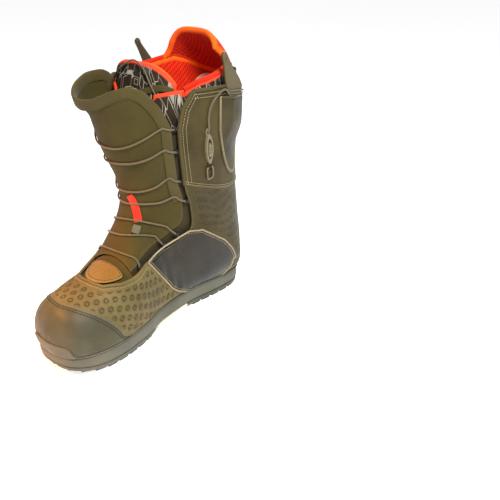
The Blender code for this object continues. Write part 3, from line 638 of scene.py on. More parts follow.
def woven(name, dark, light, pitch, roughness=.85, sheen=.15, depth=.5):
    """A plain weave of that pitch in millimetres, laid along the flat coordinates."""
    f = Finish(name, roughness, .12, sheen)
    a, b = f.waves(500 / pitch, 500 / pitch)
    weave = f.maths("ABSOLUTE", f.maths("SUBTRACT", a, b))
    shade = f.maths("ADD", f.maths("MULTIPLY", weave, .35), f.maths("MULTIPLY", f.noise(30, 4), .65))
    colour = f.mix(f.stretch(shade, .25, .75), dark, light)
    colour = f.mix(f.maths("MULTIPLY", f.noise(900, 2), .3), colour, scaled(dark, .5))
    colour = f.mix(f.maths("MULTIPLY", f.point_value("wear"), .25), colour, scaled(light, 1.7))
    f.bump(weave, depth, .00025)
    f.bump(f.noise(300), .25, .0004)
    f.bump(f.noise(14, 2), .3, .003)
    return f.done(colour)


def mesh_knit(name, hole, yarn, rim, pitch):
    """Brushed knit with staggered holes, and a plain brushed rim where it is worn."""
    f = Finish(name, .9, .15, .05)
    a, b = f.waves(1000 / pitch, 577 / pitch)
    between = f.maths("MULTIPLY", f.maths("SUBTRACT", 1.0, a), f.maths("SUBTRACT", 1.0, b))
    rows = [f.stretch(row, .42, .62) for row in (f.maths("MULTIPLY", a, b), between)]
    edge = f.stretch(f.point_value("wear"), .1, .35)
    holes = f.maths("MULTIPLY", f.maths("MAXIMUM", *rows), f.maths("SUBTRACT", 1.0, edge))
    colour = f.mix(f.stretch(f.noise(40), .3, .7), yarn, scaled(yarn, .8))
    colour = f.mix(f.maths("MULTIPLY", holes, .8), colour, hole)
    colour = f.mix(edge, colour, rim)
    f.bump(f.maths("SUBTRACT", 1.0, holes), .6, .0005)
    f.bump(f.noise(1300, 2), .5, .0004)
    f.bump(f.noise(60, 2), .3, .002)
    return f.done(colour)


def printed(name, ground, line, rim):
    """Woven fabric with a generic print of pale irregular lines, and a brushed rim where it is worn."""
    f = Finish(name, .8, .2)

    def cells(feature, output="Distance"):
        return f.cells(66, f.flat, feature, .8, output, "CHEBYCHEV")

    split = f.node("SeparateColor", {0: cells("F1", "Color")})
    near = cells("F1")
    lines = f.stretch(f.maths("SUBTRACT", cells("F2"), near), .014, .036, 1, 0)
    rings = f.maths("PINGPONG", f.maths("MULTIPLY_ADD", near, 1.3, split.outputs[0]), .5)
    chosen = f.stretch(split.outputs[1], .45, .5)
    lines = f.maths("MAXIMUM", lines, f.maths("MULTIPLY", f.stretch(rings, .014, .03, 1, 0), chosen))
    colour = f.mix(f.noise(200), ground, scaled(ground, .45))
    colour = f.mix(f.maths("MULTIPLY", lines, .85), colour, line)
    colour = f.mix(f.stretch(f.point_value("wear"), .25, .55), colour, rim)
    a, b = f.waves(700, 700)
    f.bump(f.maths("ABSOLUTE", f.maths("SUBTRACT", a, b)), .4, .0002)
    f.bump(f.noise(500, 2), .3, .0004)
    return f.done(colour)


def braided(name, dark, light):
    """Round cord: two sets of strands that cross, along the cord's own coordinates."""
    f = Finish(name, .65, .4, .2)
    rate = 3 / (LACE_R * MM)
    x, y = f.flat_times(rate, rate * .55)
    first, second = (f.maths("SINE", f.maths(sign, x, y)) for sign in ("ADD", "SUBTRACT"))
    strands = f.maths("MULTIPLY_ADD", f.maths("MULTIPLY", first, second), .5, .5)
    f.bump(strands, .5, .0003)
    return f.done(f.mix(strands, dark, light))


def moulded(name, dark, light, roughness, depth=.3, worn=.3):
    """Moulded rubber or plastic: fine texture, faint clouding, and paler edges."""
    f = Finish(name, roughness, .35)
    colour = f.mix(f.stretch(f.noise(22, 4), .35, .65), dark, light)
    colour = f.mix(f.maths("MULTIPLY", f.point_value("wear"), worn), colour, scaled(light, 2))
    f.bump(f.noise(700), depth, .0003)
    f.bump(f.noise(14, 2), .25, .002)
    return f.done(colour, f.stretch(f.noise(50), .3, .7, roughness - .07, roughness + .1))


RED, ORANGE = (.80, .028, .004), (1.0, .125, .008)
LOOKS = {}


def look(maker, name, *values, **named):
    LOOKS[name] = maker(name, *values, **named)


look(leather, "shell_leather", (.037, .027, .006), (.068, .050, .013), .5, 1.3, .25, worn=.45)
look(leather, "toe_leather", (.070, .066, .038), (.104, .096, .056), .46, .8, .45)
look(leather, "smooth_leather", (.009, .009, .005), (.022, .021, .013), .30, 1.6, .12, .25, worn=.3)
look(leather, "pocket_leather", (.030, .024, .010), (.060, .048, .020), .42, 1.3, .3)
# The vamp's dimpled leather is a little brighter and warmer than its own colour, carrying part of the warm
# glow and highlights on the vamp: partly painted light.
look(leather, "dimpled_leather", (.118, .093, .034), (.174, .138, .053), .52, 1.0, .35)
look(leather, "quarter_leather", (.042, .033, .010), (.069, .054, .017), .5, 1.0, .35)
look(woven, "tongue_fabric", (.046, .036, .008), (.080, .062, .015), .55, .8, .05, .35)
# The next look is the tongue's fabric made darker for the gussets: painted shade in the gap between the
# tongue and the shell.
look(woven, "gusset_fabric", (.030, .022, .009), (.055, .042, .018), .7, .85, .05, .4)
look(woven, "patch_fabric", (.150, .090, .018), (.250, .150, .034), 1.1, .75, .15, .8)
look(woven, "binding_tape", (.058, .044, .011), (.094, .072, .020), .8, .75, .1, .6)
look(moulded, "sole_rubber", (.080, .080, .055), (.110, .108, .076), .6)
look(moulded, "heel_rubber", (.045, .046, .028), (.075, .074, .045), .55)
look(moulded, "midsole_foam", (.085, .084, .060), (.118, .116, .084), .62, .35)
look(moulded, "arch_plastic", (.70, .64, .44), (.82, .77, .58), .45)
look(braided, "lace_cord", (.045, .036, .014), (.150, .122, .060))
look(moulded, "thread", (.240, .200, .110), (.340, .285, .160), .6, worn=0)
look(woven, "webbing", (.010, .010, .008), (.035, .032, .026), 1.0, .7, .1, .8)
look(moulded, "handle_plastic", (.050, .040, .018), (.088, .070, .030), .42, worn=.7)
look(moulded, "lock_plastic", (.020, .018, .012), (.045, .040, .026), .4, worn=.9)
look(moulded, "lock_bright", (.120, .098, .052), (.190, .158, .088), .35, worn=.5)
look(woven, "red_ribbon", (.72, .012, .006), (.88, .045, .015), .9, .6, .2, .6)
look(moulded, "tip_rubber", (.090, .084, .050), (.120, .112, .070), .6)
look(mesh_knit, "liner_mesh", (.36, .005, .001), RED, ORANGE, 4.4)
look(mesh_knit, "liner_fleece", (.70, .014, .003), RED, ORANGE, 1.1)
look(printed, "liner_fabric", (.040, .028, .014), (.50, .46, .36), (.92, .06, .02))
look(woven, "pad_foam", (.55, .40, .22), (.72, .56, .36), 1.4, .9, .4, .4)
look(woven, "board", (.30, .25, .17), (.38, .32, .23), 2.0)


# ---- the shell's panels ----------------------------------------------------------------------------

def floor_edge(u):
    return FORM.floor_angle(u, SOLE_TOP - .5)


def constant(value):
    def at(x):
        return value + 0 * x
    return at


def shifted(curve, step):
    def at(x):
        return curve(x) + step
    return at


def dot_field(flat, pitch_x, pitch_y):
    """Distance in millimetres from each place to the nearest dot of a staggered pattern."""
    x, y = flat[:, 0], flat[:, 1]
    row = np.round(y / pitch_y)
    shift = np.where(np.mod(row, 2) == 0, 0, .5) * pitch_x
    near_x = (x - shift) - np.round((x - shift) / pitch_x) * pitch_x
    return np.hypot(near_x, y - row * pitch_y)


def dimples(radius, pitch_x, pitch_y, depth, margin=6.0):
    """Round hollows with a low dome in the middle, fading out near the panel's edge: their relief, and a mask
    of painted shade in their grooves.
    """
    def relief(distance, flat):
        r = dot_field(flat, pitch_x, pitch_y)
        dome = np.clip(1 - (r / (radius * .6)) ** 2, 0, 1)
        return ramp(distance, margin, 2) * depth * (.35 * dome - bell(r, radius * .8, radius * .28))

    # Painted shade: a mask that darkens the colour in each dimple's groove.
    def dent_shade_mask(distance, flat):
        r = dot_field(flat, pitch_x, pitch_y)
        return ramp(distance, margin, 2) * bell(r, radius * .8, radius * .3)
    return relief, dent_shade_mask


def sewn(*distances, depth=.35):
    """Shallow channels where rows of stitches pull the leather in, at distances from the edge."""
    def relief(distance, flat):
        return -sum(depth * bell(distance, d, .8) for d in distances)
    return relief


RAISED, ON_RAISED = .9, .95    # the outside of the panels that lie on others, and of the thread on them
TOE_ROWS, THROAT_ROW, SIDE_ROW = (2.6, 5.4), 4.2, 3.2    # stitch rows, in millimetres from the edge
CUFF_TOP, CUFF_BACK, CUFF_START = 14.8, 22.0, .2
CUFF_ROWS, CUFF_FOOT_ROWS = (4.6, 9.0), (2.6, 5.0)
STRAP_FOOT, STRAP_TOP, STRAP_ROW = 12.25, RIM + .05, 3.0
POCKET_TOP, POCKET_BACK, POCKET_WIDTH, POCKET_ROWS = 14.55, 44, 34, (1.6, 3.4)


def make_toe():
    grid = side_grid(constant(0.0), shifted(toe_seam, .03), floor_edge, constant(180), (90, 70))
    toe = skin("toe_cap_skin", *both_sides(grid, 180), RAISED, 1.6, relief=sewn(*TOE_ROWS))
    piece(toe, "root", "toe_leather", stands_for=("toe_cap",))
    b = np.linspace(.03, 1, 160)
    u = toe_seam(b)
    t = floor_edge(u) + (180 - floor_edge(u)) * b
    lines = [seam_line(u, t, row, ON_RAISED, side) for row in TOE_ROWS for side, _ in SIDES]
    stitches("toe_cap_stitches", lines, "root", "toe_leather", "webbing")


def make_vamp():
    relief, dent_shade_mask = dimples(3.3, 12.5, 10.5, 1.0)
    rows, columns = 104, 110
    grid = side_grid(shifted(toe_seam, -.12), shifted(side_front, .15), floor_edge, None, (rows, columns))
    u, t = both_sides(grid, 180)
    keep = np.ones((rows - 1, 2 * columns - 1), bool)
    keep[:, columns - 1] = (t[:-1, columns] - t[:-1, columns - 1]) < .5
    vamp = skin("vamp_skin", u, t, 0.0, 1.8, relief=relief, keep=keep, dent_shade_mask=dent_shade_mask)
    piece(vamp, "root", "dimpled_leather", stands_for=("vamp",))
    rise = np.linspace(6.05, 3.2, 60)
    edge = throat_edge(rise)
    u, t = np.concatenate([rise, rise[::-1]]), np.concatenate([edge, 360 - edge[::-1]])
    points, normals = seam_line(u, t, 0, .5)
    roll = sweep("throat_roll", points, circle(2.1, 12, .8), normals)
    piece(roll, "root", "binding_tape", "dimpled_leather")
    stitches("throat_stitches", [seam_line(u, t, THROAT_ROW, .15)], "root", "dimpled_leather")


def gathers(distance, flat):
    """The side panel's stitch row, and folds under its upper edge where the laces pull it."""
    y = flat[:, 1]
    folds = bell(y, y.max() * .62, 30) * (1 - ramp(distance, 0, 26)) * np.sin(y / 2.6)
    return sewn(SIDE_ROW)(distance, flat) + .8 * folds * ramp(distance, 0, 3)


def make_side_panels():
    b = np.linspace(0, 1, 90)
    edges = []
    for curve, inward in ((side_front, -SIDE_ROW), (side_back, SIDE_ROW)):
        u = curve(b)
        edges.append((u, floor_edge(u) + (throat_edge(u) - floor_edge(u)) * b, inward))
    front, back = edges
    border = [np.concatenate([front[k], back[k][::-1]]) for k in (0, 1)]
    for side, name in SIDES:
        u, t = side_grid(side_front, shifted(side_back, .02), floor_edge, throat_edge, (70, 70), side)
        panel = skin(name + "_side_skin", u, t, RAISED, 1.6, relief=gathers)
        piece(panel, "root", "smooth_leather", stands_for=(name + "_side_panel",))
        points, normals = seam_line(*border, 0, .6, side)
        pipe = sweep(name + "_side_piping", points, circle(1.15, 10), normals)
        piece(pipe, "root", "binding_tape", "thread")
        lines = [seam_line(*edge, ON_RAISED, side) for edge in edges]
        stitches(name + "_side_stitches", lines, "root", "smooth_leather")


def make_quarter():
    relief, dent_shade_mask = dimples(2.5, 12.0, 9.0, .5, 9.0)
    u, t = side_grid(shifted(side_back, -.2), shifted(cuff_seam, .2), floor_edge, throat_edge, (110, 110))
    quarter = skin("heel_quarter_skin", *both_sides((u, t), 0), 0.0, 1.8, relief=relief, dent_shade_mask=dent_shade_mask)
    piece(quarter, "root", "dimpled_leather", "quarter_leather", stands_for=("heel_quarter",))


def cuff_foot(b):
    """The cuff's lower edge: the seam, without its first stretch behind the back strap."""
    return cuff_seam(CUFF_START + (1 - CUFF_START) * b)


def make_cuffs():
    rise = np.linspace(11.25, CUFF_TOP - .02, 90)
    rim_t = np.linspace(throat_edge(rise[-1]), 30, 50)
    border_u = np.concatenate([rise, np.full(len(rim_t), CUFF_TOP)])
    border_t = np.concatenate([throat_edge(rise), rim_t])
    b = np.linspace(0, 1, 80)
    foot_u = cuff_foot(b)
    foot_t = CUFF_BACK + (throat_edge(foot_u) - CUFF_BACK) * b
    for side, name in SIDES:
        top, back = constant(CUFF_TOP + .02), constant(CUFF_BACK)
        grid = side_grid(cuff_foot, top, back, throat_edge, (110, 90), side)
        cuff = skin(name + "_cuff_skin", *grid, RAISED, 1.8, relief=sewn(*CUFF_ROWS, depth=.3))
        piece(cuff, "root", "shell_leather", stands_for=(name + "_cuff",))
        points, normals = seam_line(border_u, border_t, 0, .35, side)
        tape = sweep(name + "_cuff_tape", points, rounded(3.2, 3.8, 3), normals)
        piece(tape, "root", "binding_tape", stands_for=(name + "_cuff_binding",))
        lines = [seam_line(border_u, border_t, -row, 1.0, side) for row in CUFF_ROWS]
        lines += [seam_line(foot_u, foot_t, -row, 1.0, side) for row in CUFF_FOOT_ROWS]
        stitches(name + "_cuff_stitches", lines, "root", "shell_leather")


def strap_half(u):
    """Half the back strap's width, in degrees. It narrows upwards."""
    return 27 - 5 * (u - STRAP_FOOT) / (STRAP_TOP - STRAP_FOOT)


def make_back():
    r, b = grid_shares(90, 30)
    u = STRAP_FOOT + (STRAP_TOP - STRAP_FOOT) * r + 0 * b
    strap = skin("back_strap_skin", u, (2 * b - 1) * strap_half(u), 1.9, 1.8, relief=sewn(STRAP_ROW))
    piece(strap, "root", "smooth_leather", "pocket_leather", stands_for=("back_strap",))
    rise = np.linspace(12.3, 14.95, 60)
    lines = [seam_line(rise, strap_half(rise), -STRAP_ROW, 1.95, side) for side, _ in SIDES]
    stitches("back_strap_stitches", lines, "root", "smooth_leather")
    half = [(14.3, -9, 2.4), (14.7, -10, 4.5), (14.95, -8, 6.5)]
    route = half + [(15.02, 0, 7)] + [(u, -t, out) for u, t, out in half[::-1]]
    points = smooth_line([FORM.at(*place) for place in route], 8)
    loop = sweep("heel_pull_webbing", points, rounded(9, 1.5, 4), unit(points - points.mean(0)))
    piece(loop, "root", "webbing", stands_for=("heel_pull_loop",))


def pocket_foot(b):
    return 12.3 + 1.3 * np.abs(2 * b - 1) ** 3


def pocket_out(u, t):
    """The pocket stands out over the lower end of the pull handle and lies flat elsewhere."""
    over_blade = ramp(-np.abs(t - 61), -15.5, 8)
    return 2.2 + 8.6 * smooth(over_blade) * smooth(ramp(u, 13.0, .9))


def make_pockets():
    r, b = grid_shares(90, 60)
    u = pocket_foot(b) + (POCKET_TOP - pocket_foot(b)) * r
    t = POCKET_BACK + POCKET_WIDTH * b + 0 * r
    s = np.linspace(0, 1, 120)
    path_b = ramp(s, .35, .3)
    rise = np.where(s < .35, 14.5 - .9 * s / .35, 13.6 + .9 * (s - .65) / .35)
    path_u = np.where((s < .35) | (s > .65), rise, pocket_foot(path_b))
    path_t = POCKET_BACK + POCKET_WIDTH * path_b
    for side, name in SIDES:
        relief = sewn(3.0, depth=.4)
        pocket = skin(name + "_pocket_skin", u, mirrored(t, side), pocket_out(u, t), 1.3, relief=relief)
        piece(pocket, "root", "smooth_leather", "pocket_leather", stands_for=(name + "_handle_pocket",))
        lines = [seam_line(path_u, path_t, -row, 2.3, side) for row in POCKET_ROWS]
        stitches(name + "_pocket_stitches", lines, "root", "smooth_leather", pitch=2.6, length=2.2,
                 radius=.55)


# ---- the sole --------------------------------------------------------------------------------------

def outline(grow, count=260):
    """The sole's outline, evenly spaced, this far outside the line where the upper meets the sole."""
    u = 1 + 8 * spaced(160, .9)
    angle = FORM.floor_angle(u)
    ring = np.vstack([FORM.point(u, angle), FORM.point(u, 360 - angle)[::-1]])[:, :2]
    closed = np.vstack([ring, ring[:1]])
    run = run_along(closed)
    places = np.linspace(0, run[-1], count, endpoint=False)
    ring = np.stack([np.interp(places, run, closed[:, k]) for k in (0, 1)], -1)
    for _ in range(6):
        ring = (np.roll(ring, 1, 0) + 2 * ring + np.roll(ring, -1, 0)) / 4
    along = unit(np.roll(ring, -1, 0) - np.roll(ring, 1, 0))
    out = np.stack([along[:, 1], -along[:, 0]], -1)
    if ((ring - ring.mean(0)) * out).sum() < 0:
        out = -out
    return ring + out * grow


def spring_lift(y):
    """How far the sole's underside rises towards the toe."""
    return TOE_SPRING * np.maximum(0, (-y - 92) / 66) ** 2


def loft(name, levels, front=-math.inf, back=math.inf, spring=True):
    """A slice of the sole through levels of (grow, height), bottom to top, from y = front to y = back."""
    rings = []
    for grow, height in levels:
        ring = cut_off(outline(grow), front, back)
        lift = spring_lift(ring[:, 1]) * np.clip((SOLE_TOP - height) / SOLE_TOP, 0, 1) if spring else 0
        rings.append(np.column_stack([ring, height + lift + 0 * ring[:, 0]]))
    faces = tube_faces(len(rings), len(rings[0]))
    if signed_area(rings[0]) < 0:
        faces = turned(faces)
    return new_object(name, np.vstack(rings), faces, sharp=35)


def cut_off(ring, low, high):
    """The outline with what lies past y = low or y = high pressed onto those lines."""
    kept = ring.copy()
    for limit, past in ((low, ring[:, 1] < low), (high, ring[:, 1] > high)):
        if past.any():
            near = ~past & (np.abs(ring[:, 1] - limit) < 8)
            kept[past, 0] = np.clip(ring[past, 0], ring[near, 0].min(), ring[near, 0].max())
            kept[past, 1] = limit
    return kept


def signed_area(ring):
    x, y = ring[:, 0], ring[:, 1]
    return (x * np.roll(y, -1) - np.roll(x, -1) * y).sum() / 2


def bumper_ridge(u):
    return FORM.floor_angle(u, curve_value(BUMPER_HEIGHT, u))


def make_sole():
    wall = [(-6, 9.4), (1.2, 9.4), (2.2, 10.4), (3.0, 13), (3.3, 17), (3.0, 21), (2.4, 24), (1.4, 25.5),
            (-4, 25.6)]
    piece(loft("midsole_body", wall), "root", "midsole_foam", stands_for=("midsole",))
    tread = [(-1.5, 3.2), (.6, 3.4), (1.4, 4.6), (2.2, 7.0), (2.0, 9.0), (-3, 9.1)]
    fore = loft("forefoot_tread_base", tread, back=-24)
    piece(fore, "root", "sole_rubber", stands_for=("outsole_forefoot",))
    heel = loft("heel_tread_base", tread, front=46, spring=False)
    piece(heel, "root", "sole_rubber", "heel_rubber", stands_for=("outsole_heel",))
    arch = loft("arch_insert", [(-3, 3.6), (0, 3.8), (2.8, 6), (3.4, 9.2)], front=-20, back=43, spring=False)
    piece(arch, "root", "arch_plastic", stands_for=("arch_plate",))
    make_lugs()
    rise = np.concatenate([np.linspace(.3, 2.4, 90), np.linspace(2.45, 8.98, 130)])
    share = spaced(16)[None, :]
    u = rise[:, None] + 0 * share
    low, high = FORM.floor_angle(u, 23), bumper_ridge(u)
    out = 3.1 - 1.2 * share + 0 * u
    both = both_sides((u, low + (high - low) * share), 0)
    foxing = skin("toe_bumper_skin", *both, np.hstack([out[:, ::-1], out]), 2.4, rounding=1.4)
    piece(foxing, "root", "sole_rubber", stands_for=("toe_bumper",))
    for side, name in SIDES:
        points, normals = seam_line(rise, bumper_ridge(rise), 0, 1.5, side, step=1.2)
        bead = sweep(name + "_foxing_bead", points, circle(.8, 8), normals)
        piece(bead, "root", "sole_rubber", "midsole_foam")


def edge_lugs(edge, inner, spacing=4, width=3):
    """Outlines of the tread blocks round the edge, each with its y. There are none at the arch."""
    count = len(edge)
    for k in range(0, count, spacing):
        if not -30 < edge[k, 1] < 50:
            far = (k + width) % count
            ring = np.array([edge[k], edge[far], inner[far], inner[k]])
            middles = (ring + np.roll(ring, -1, 0)) / 2
            yield np.stack([ring, middles], 1).reshape(-1, 2), edge[k, 1]


def inside_lugs(inner):
    """Outlines of the slanted bars in rows across the sole, each with its y."""
    for row, y in enumerate(np.arange(-138, 142, 9.0)):
        if not -32 < y < 54:
            near = np.abs(inner[:, 1] - y) < 6
            low, high = inner[near, 0].min() + 3, inner[near, 0].max() - 3
            count = max(1, int((high - low) / 14))
            width = (high - low) / count
            for k in range(count):
                x = low + width * (k + .5)
                lean = 2.5 if (row + k) % 2 else -2.5
                left, right = x - width * .38, x + width * .38
                yield np.array([(left, y - 2.4 + lean), (right, y - 2.4 - lean),
                                (right, y + 2.8 - lean), (left, y + 2.8 + lean)]), y


def make_lugs():
    """The tread: blocks that narrow downwards, flat on the ground but for the toe spring."""
    edge, inner = outline(-.4, 168), outline(-8.5, 168)
    points, faces = [], []
    for corners, y in (*edge_lugs(edge, inner), *inside_lugs(inner)):
        start = len(points)
        middle, lift = corners.mean(0), float(spring_lift(y))
        for grow, height in ((.9, .02), (1.0, .6), (1.06, 4.2)):
            points += [(*corner, height + lift) for corner in middle + (corners - middle) * grow]
        faces += [tuple(start + k for k in face) for face in tube_faces(3, len(corners))]
    lugs = new_object("tread_lugs", points, faces, smooth=False)
    bevel = lugs.modifiers.new("soft", "BEVEL")
    bevel.width = .5 * MM
    bevel.segments = 2
    piece(lugs, "root", "sole_rubber", "heel_rubber")


# ---- tongue ----------------------------------------------------------------------------------------

def tongue_flare(u, t):
    """On the lateral side the tongue's top curls away from the shin, and its edge runs in under the cuff."""
    curl = 10.5 * smooth(ramp(u, 13.3, 1.0)) * bell(t, 208, 24)
    return curl - 4.2 * smooth(ramp(t, 238, 10)) * smooth(ramp(u, 13.0, .6))


def tongue_place(b, side, share):
    """The place at b from the tongue's edge to its middle line, and at share of the way up to its rim."""
    rim = curve_value(TONGUE_RIM if side > 0 else LATERAL_RIM, b)
    u = TONGUE_FOOT + (rim - TONGUE_FOOT) * share
    edge = tongue_edge(u)
    if side < 0:
        edge = edge - LATERAL_WRAP * smooth(ramp(u, 13.3, .8))
    return u, edge + (180 - edge) * b


def tongue_border():
    """The line up one edge of the tongue, over its rim and down the other edge, rounded at its corners."""
    b = np.concatenate([np.zeros(60), np.linspace(0, 1, 120)])
    share = np.concatenate([np.linspace(.62, 1, 60), np.ones(120)])
    near_u, near_t = tongue_place(b, 1, share)
    far_u, far_t = tongue_place(b, -1, share)
    u, t = np.concatenate([near_u, far_u[::-1]]), np.concatenate([near_t, 360 - far_t[::-1]])
    line, = evenly(np.stack([u * U_SCALE, t], -1), 1.0)
    for _ in range(12):
        line[1:-1] = (line[:-2] + 2 * line[1:-1] + line[2:]) / 4
    return line[:, 0] / U_SCALE, line[:, 1]


def creases(distance, flat):
    """Soft folds where the tongue bends at the ankle."""
    x, y = flat[:, 0], flat[:, 1]
    folds = .5 * np.sin(y / 7.5 + x / 30) + .25 * np.sin(y / 4.1 - x / 17)
    return bell(y, 118, 40) * folds * ramp(distance, 0, 8)


def band_stitch_height(u, t):
    return .9 + tongue_flare(u, t)


def make_tongue():
    r, b = grid_shares(150, 80, .6)
    near_u, near_t = tongue_place(b, 1, r)
    far_u, far_t = tongue_place(b, -1, r)
    u = np.hstack([near_u, far_u[:, -2::-1]])
    t = np.hstack([near_t, 360 - far_t[:, -2::-1]])
    tongue = skin("tongue_skin", u, t, tongue_flare(u, t), SHELL, relief=creases)
    piece(tongue, "tongue", "tongue_fabric", stands_for=("shell_tongue",))
    u, t = tongue_border()
    points = FORM.at(u, t, tongue_flare(u, t) - SHELL / 2)
    outside = [(-10.5, 1.35), (-10.8, 1.75), (-10, 2.05), (-5, 2.15), (-.5, 2.1), (.9, 1.6), (1.5, .6)]
    inside = [(x, -y) for x, y in outside[::-1]]
    tape = outside + inside + [(-4, -1.2), (-.2, 0), (-4, 1.2)]
    band = sweep("tongue_band", points, tape, FORM.normal(u, t))
    piece(band, "tongue", "binding_tape", stands_for=("tongue_binding",))
    line = seam_line(u[4:-4], t[4:-4], 9.2, band_stitch_height)
    stitches("tongue_band_stitches", [line], "tongue", "tongue_fabric", "binding_tape")
    make_gussets()
    make_tab()
    make_patch()


def make_gussets():
    """The thin fabric that joins the tongue's edges to the shell, under the lace loops. It wears a darker
    copy of the tongue's fabric: painted shade in the gap between the tongue and the shell.
    """
    rise = np.linspace(TONGUE_FOOT, 13.4, 120)[:, None]
    share = np.linspace(0, 1, 12)[None, :]
    start, end = tongue_edge(rise) + 3, throat_edge(rise) - 9
    t = start + (end - start) * share
    drop = -1.8 - 3.9 * smooth(ramp(share * 1.6, 0, 1))
    for side, name in SIDES:
        gusset = skin(name + "_gusset", rise + 0 * share, mirrored(t, side), drop + 0 * rise, .5, rounding=.3)
        # The gusset takes the darker fabric: painted shade in the gap beside the tongue.
        piece(gusset, "tongue", "tongue_fabric", "gusset_fabric")


def make_tab():
    u, t, out = smooth_line([(8.55, 173, .9), (8.1, 167, .9), (7.65, 161, .9), (7.2, 155, .9)], 8).T
    ribbon = sweep("tab_ribbon_strap", FORM.at(u, t, out), rounded(9.5, 1.0, 6, 24), FORM.normal(u, t))
    piece(ribbon, "tongue", "red_ribbon", stands_for=("tab_ribbon",))
    origin, _, up, out = FORM.place(6.84, 154.5, 2.6)
    taper = np.array([.86, .97, 1, 1, 1, .97, .86])
    points = [origin + up * k for k in np.linspace(-5.5, 4.2, len(taper))]
    tip = sweep("tab_tip_rubber", points, rounded(9.5, 2.8, 5, 24), np.array([out] * len(taper)), scale=taper)
    piece(tip, "tab_tip", "tip_rubber", stands_for=("tab_tip",))


def ribs(distance, flat):
    return .18 * np.sin((flat[:, 0] * .8 + flat[:, 1]) * 2.6) * ramp(distance, 3, 2)


def make_patch():
    """The patch on the tongue's foot, over the lining that closes the throat, and its stitches."""
    rise = np.linspace(3.02, 4.8, 60)[:, None]
    share = np.linspace(-1, 1, 60)[None, :]
    under = skin("tongue_root_lining", rise + 0 * share, 180 + share * (throat(rise) + 9), -3.2, 1.2)
    piece(under, "root", "tongue_fabric")
    middle_u, middle_t = 3.93, 178
    rings = spaced(40)[:, None]
    turn = np.linspace(0, 2 * math.pi, 121)[None, :]
    c, s = np.cos(turn), np.sin(turn)
    up = rings * np.where(s > 0, .40 * np.abs(s) ** .4, -.66 * np.abs(s) ** .8)
    across = rings * np.sign(c) * np.abs(c) ** np.where(s > 0, .4, .8) * (1 + .30 * up / .62)
    patch = skin("tongue_patch_skin", middle_u + up, middle_t + 25 * across, 1.0, 1.4, relief=ribs)
    piece(patch, "root", "tongue_fabric", "patch_fabric", stands_for=("tongue_patch",))
    line = seam_line(middle_u + up[-1] * .84, middle_t + 25 * across[-1] * .88, 0, 1.0)
    stitches("patch_stitches", [line], "root", "tongue_fabric", "webbing")


# ---- laces, guides, locks and handles --------------------------------------------------------------

GUIDES = {1: MEDIAL_GUIDES, -1: LATERAL_GUIDES}
HANDLE_LEAN = 22.0      # how far the blade's tip leans forward, in millimetres
HANDLE_STAND = 3.5      # how far the blade stands off the cuff
HANDLE_SPREAD = 6.0     # how far the lateral blade's tip stands out beyond that
HANDLE_TWIST = 32.0     # degrees that the blade turns to the front
HANDLE_FOOT, HANDLE_TIP = -20, 61
HANDLE_PROFILE = ((-20, 9.5), (-6, 11.2), (7, 11), (10, 10), (14, 10), (19, 11.4), (28, 10.4), (39, 7.4),
                  (50, 4.8), (58, 3.6), (61, 1.6))    # height and half the blade's width
WINDINGS = (8.6, 12.0, 15.4)
WEDGE = ((-2.2, -9), (-.5, -9.6), (2.2, -9), (2.9, -3), (2.6, 2), (1.6, 6), (.6, 7.8), (-.6, 7.8),
         (-1.4, 6), (-2.6, 0))
LEAD_START = ((13.45, .2), (13.52, 2.4), (13.7, 2.6), (13.95, 2.4))
LEAD_RISE = ((14.3, 86, 2.6), (14.58, 81, 3.6), (14.75, 75, 6.0))


def edge_angle(u, side):
    return 180 - side * throat(u)


def strand_end(u, side):
    """A strand's way from the tongue over the throat's edge and down through its lace loop."""
    edge, wide = edge_angle(u, side), curve_value(TONGUE_MARGIN, u)
    lift = ((wide + 7, LACE_OVER), (wide + 3, LACE_OVER), (wide, 1.2), (wide * .55, -1.0), (wide * .2, -3.9),
            (-2.5, LACE_UNDER))
    return [(u, edge + side * angle, out) for angle, out in lift]


def strand(u_a, side, u_b, dip):
    first, last = strand_end(u_a, side)[::-1], strand_end(u_b, -side)
    middle = []
    t_a, t_b = first[-1][1], last[0][1]
    for k in range(1, 8):
        s = k / 8
        middle.append((u_a + (u_b - u_a) * s - dip * math.sin(math.pi * s), t_a + (t_b - t_a) * s, LACE_OVER))
    return first + middle + last


def crossings(first, last, side):
    """The strands at the guides first to last - 1. Each starts on the side where the one before it ended."""
    strands = []
    for k in range(first, last):
        strands.append((GUIDES[side][k], side, GUIDES[-side][k], STRAND_DIPS[k]))
        side = -side
    return strands


def lace_route(strands, start, end):
    """The lace's way over its strands, and under the edge from each of them to the next."""
    route = [start]
    for k, (u_a, side, u_b, dip) in enumerate(strands):
        route += strand(u_a, side, u_b, dip)
        if k + 1 < len(strands):
            u_next = strands[k + 1][0]
            depth = side * TURN_IN
            middle = (u_b + u_next) / 2
            for u in (u_b, u_next):
                route.append((u + (middle - u) * .35, edge_angle(u, -side) + depth, LACE_UNDER))
    return np.array(route + [end])


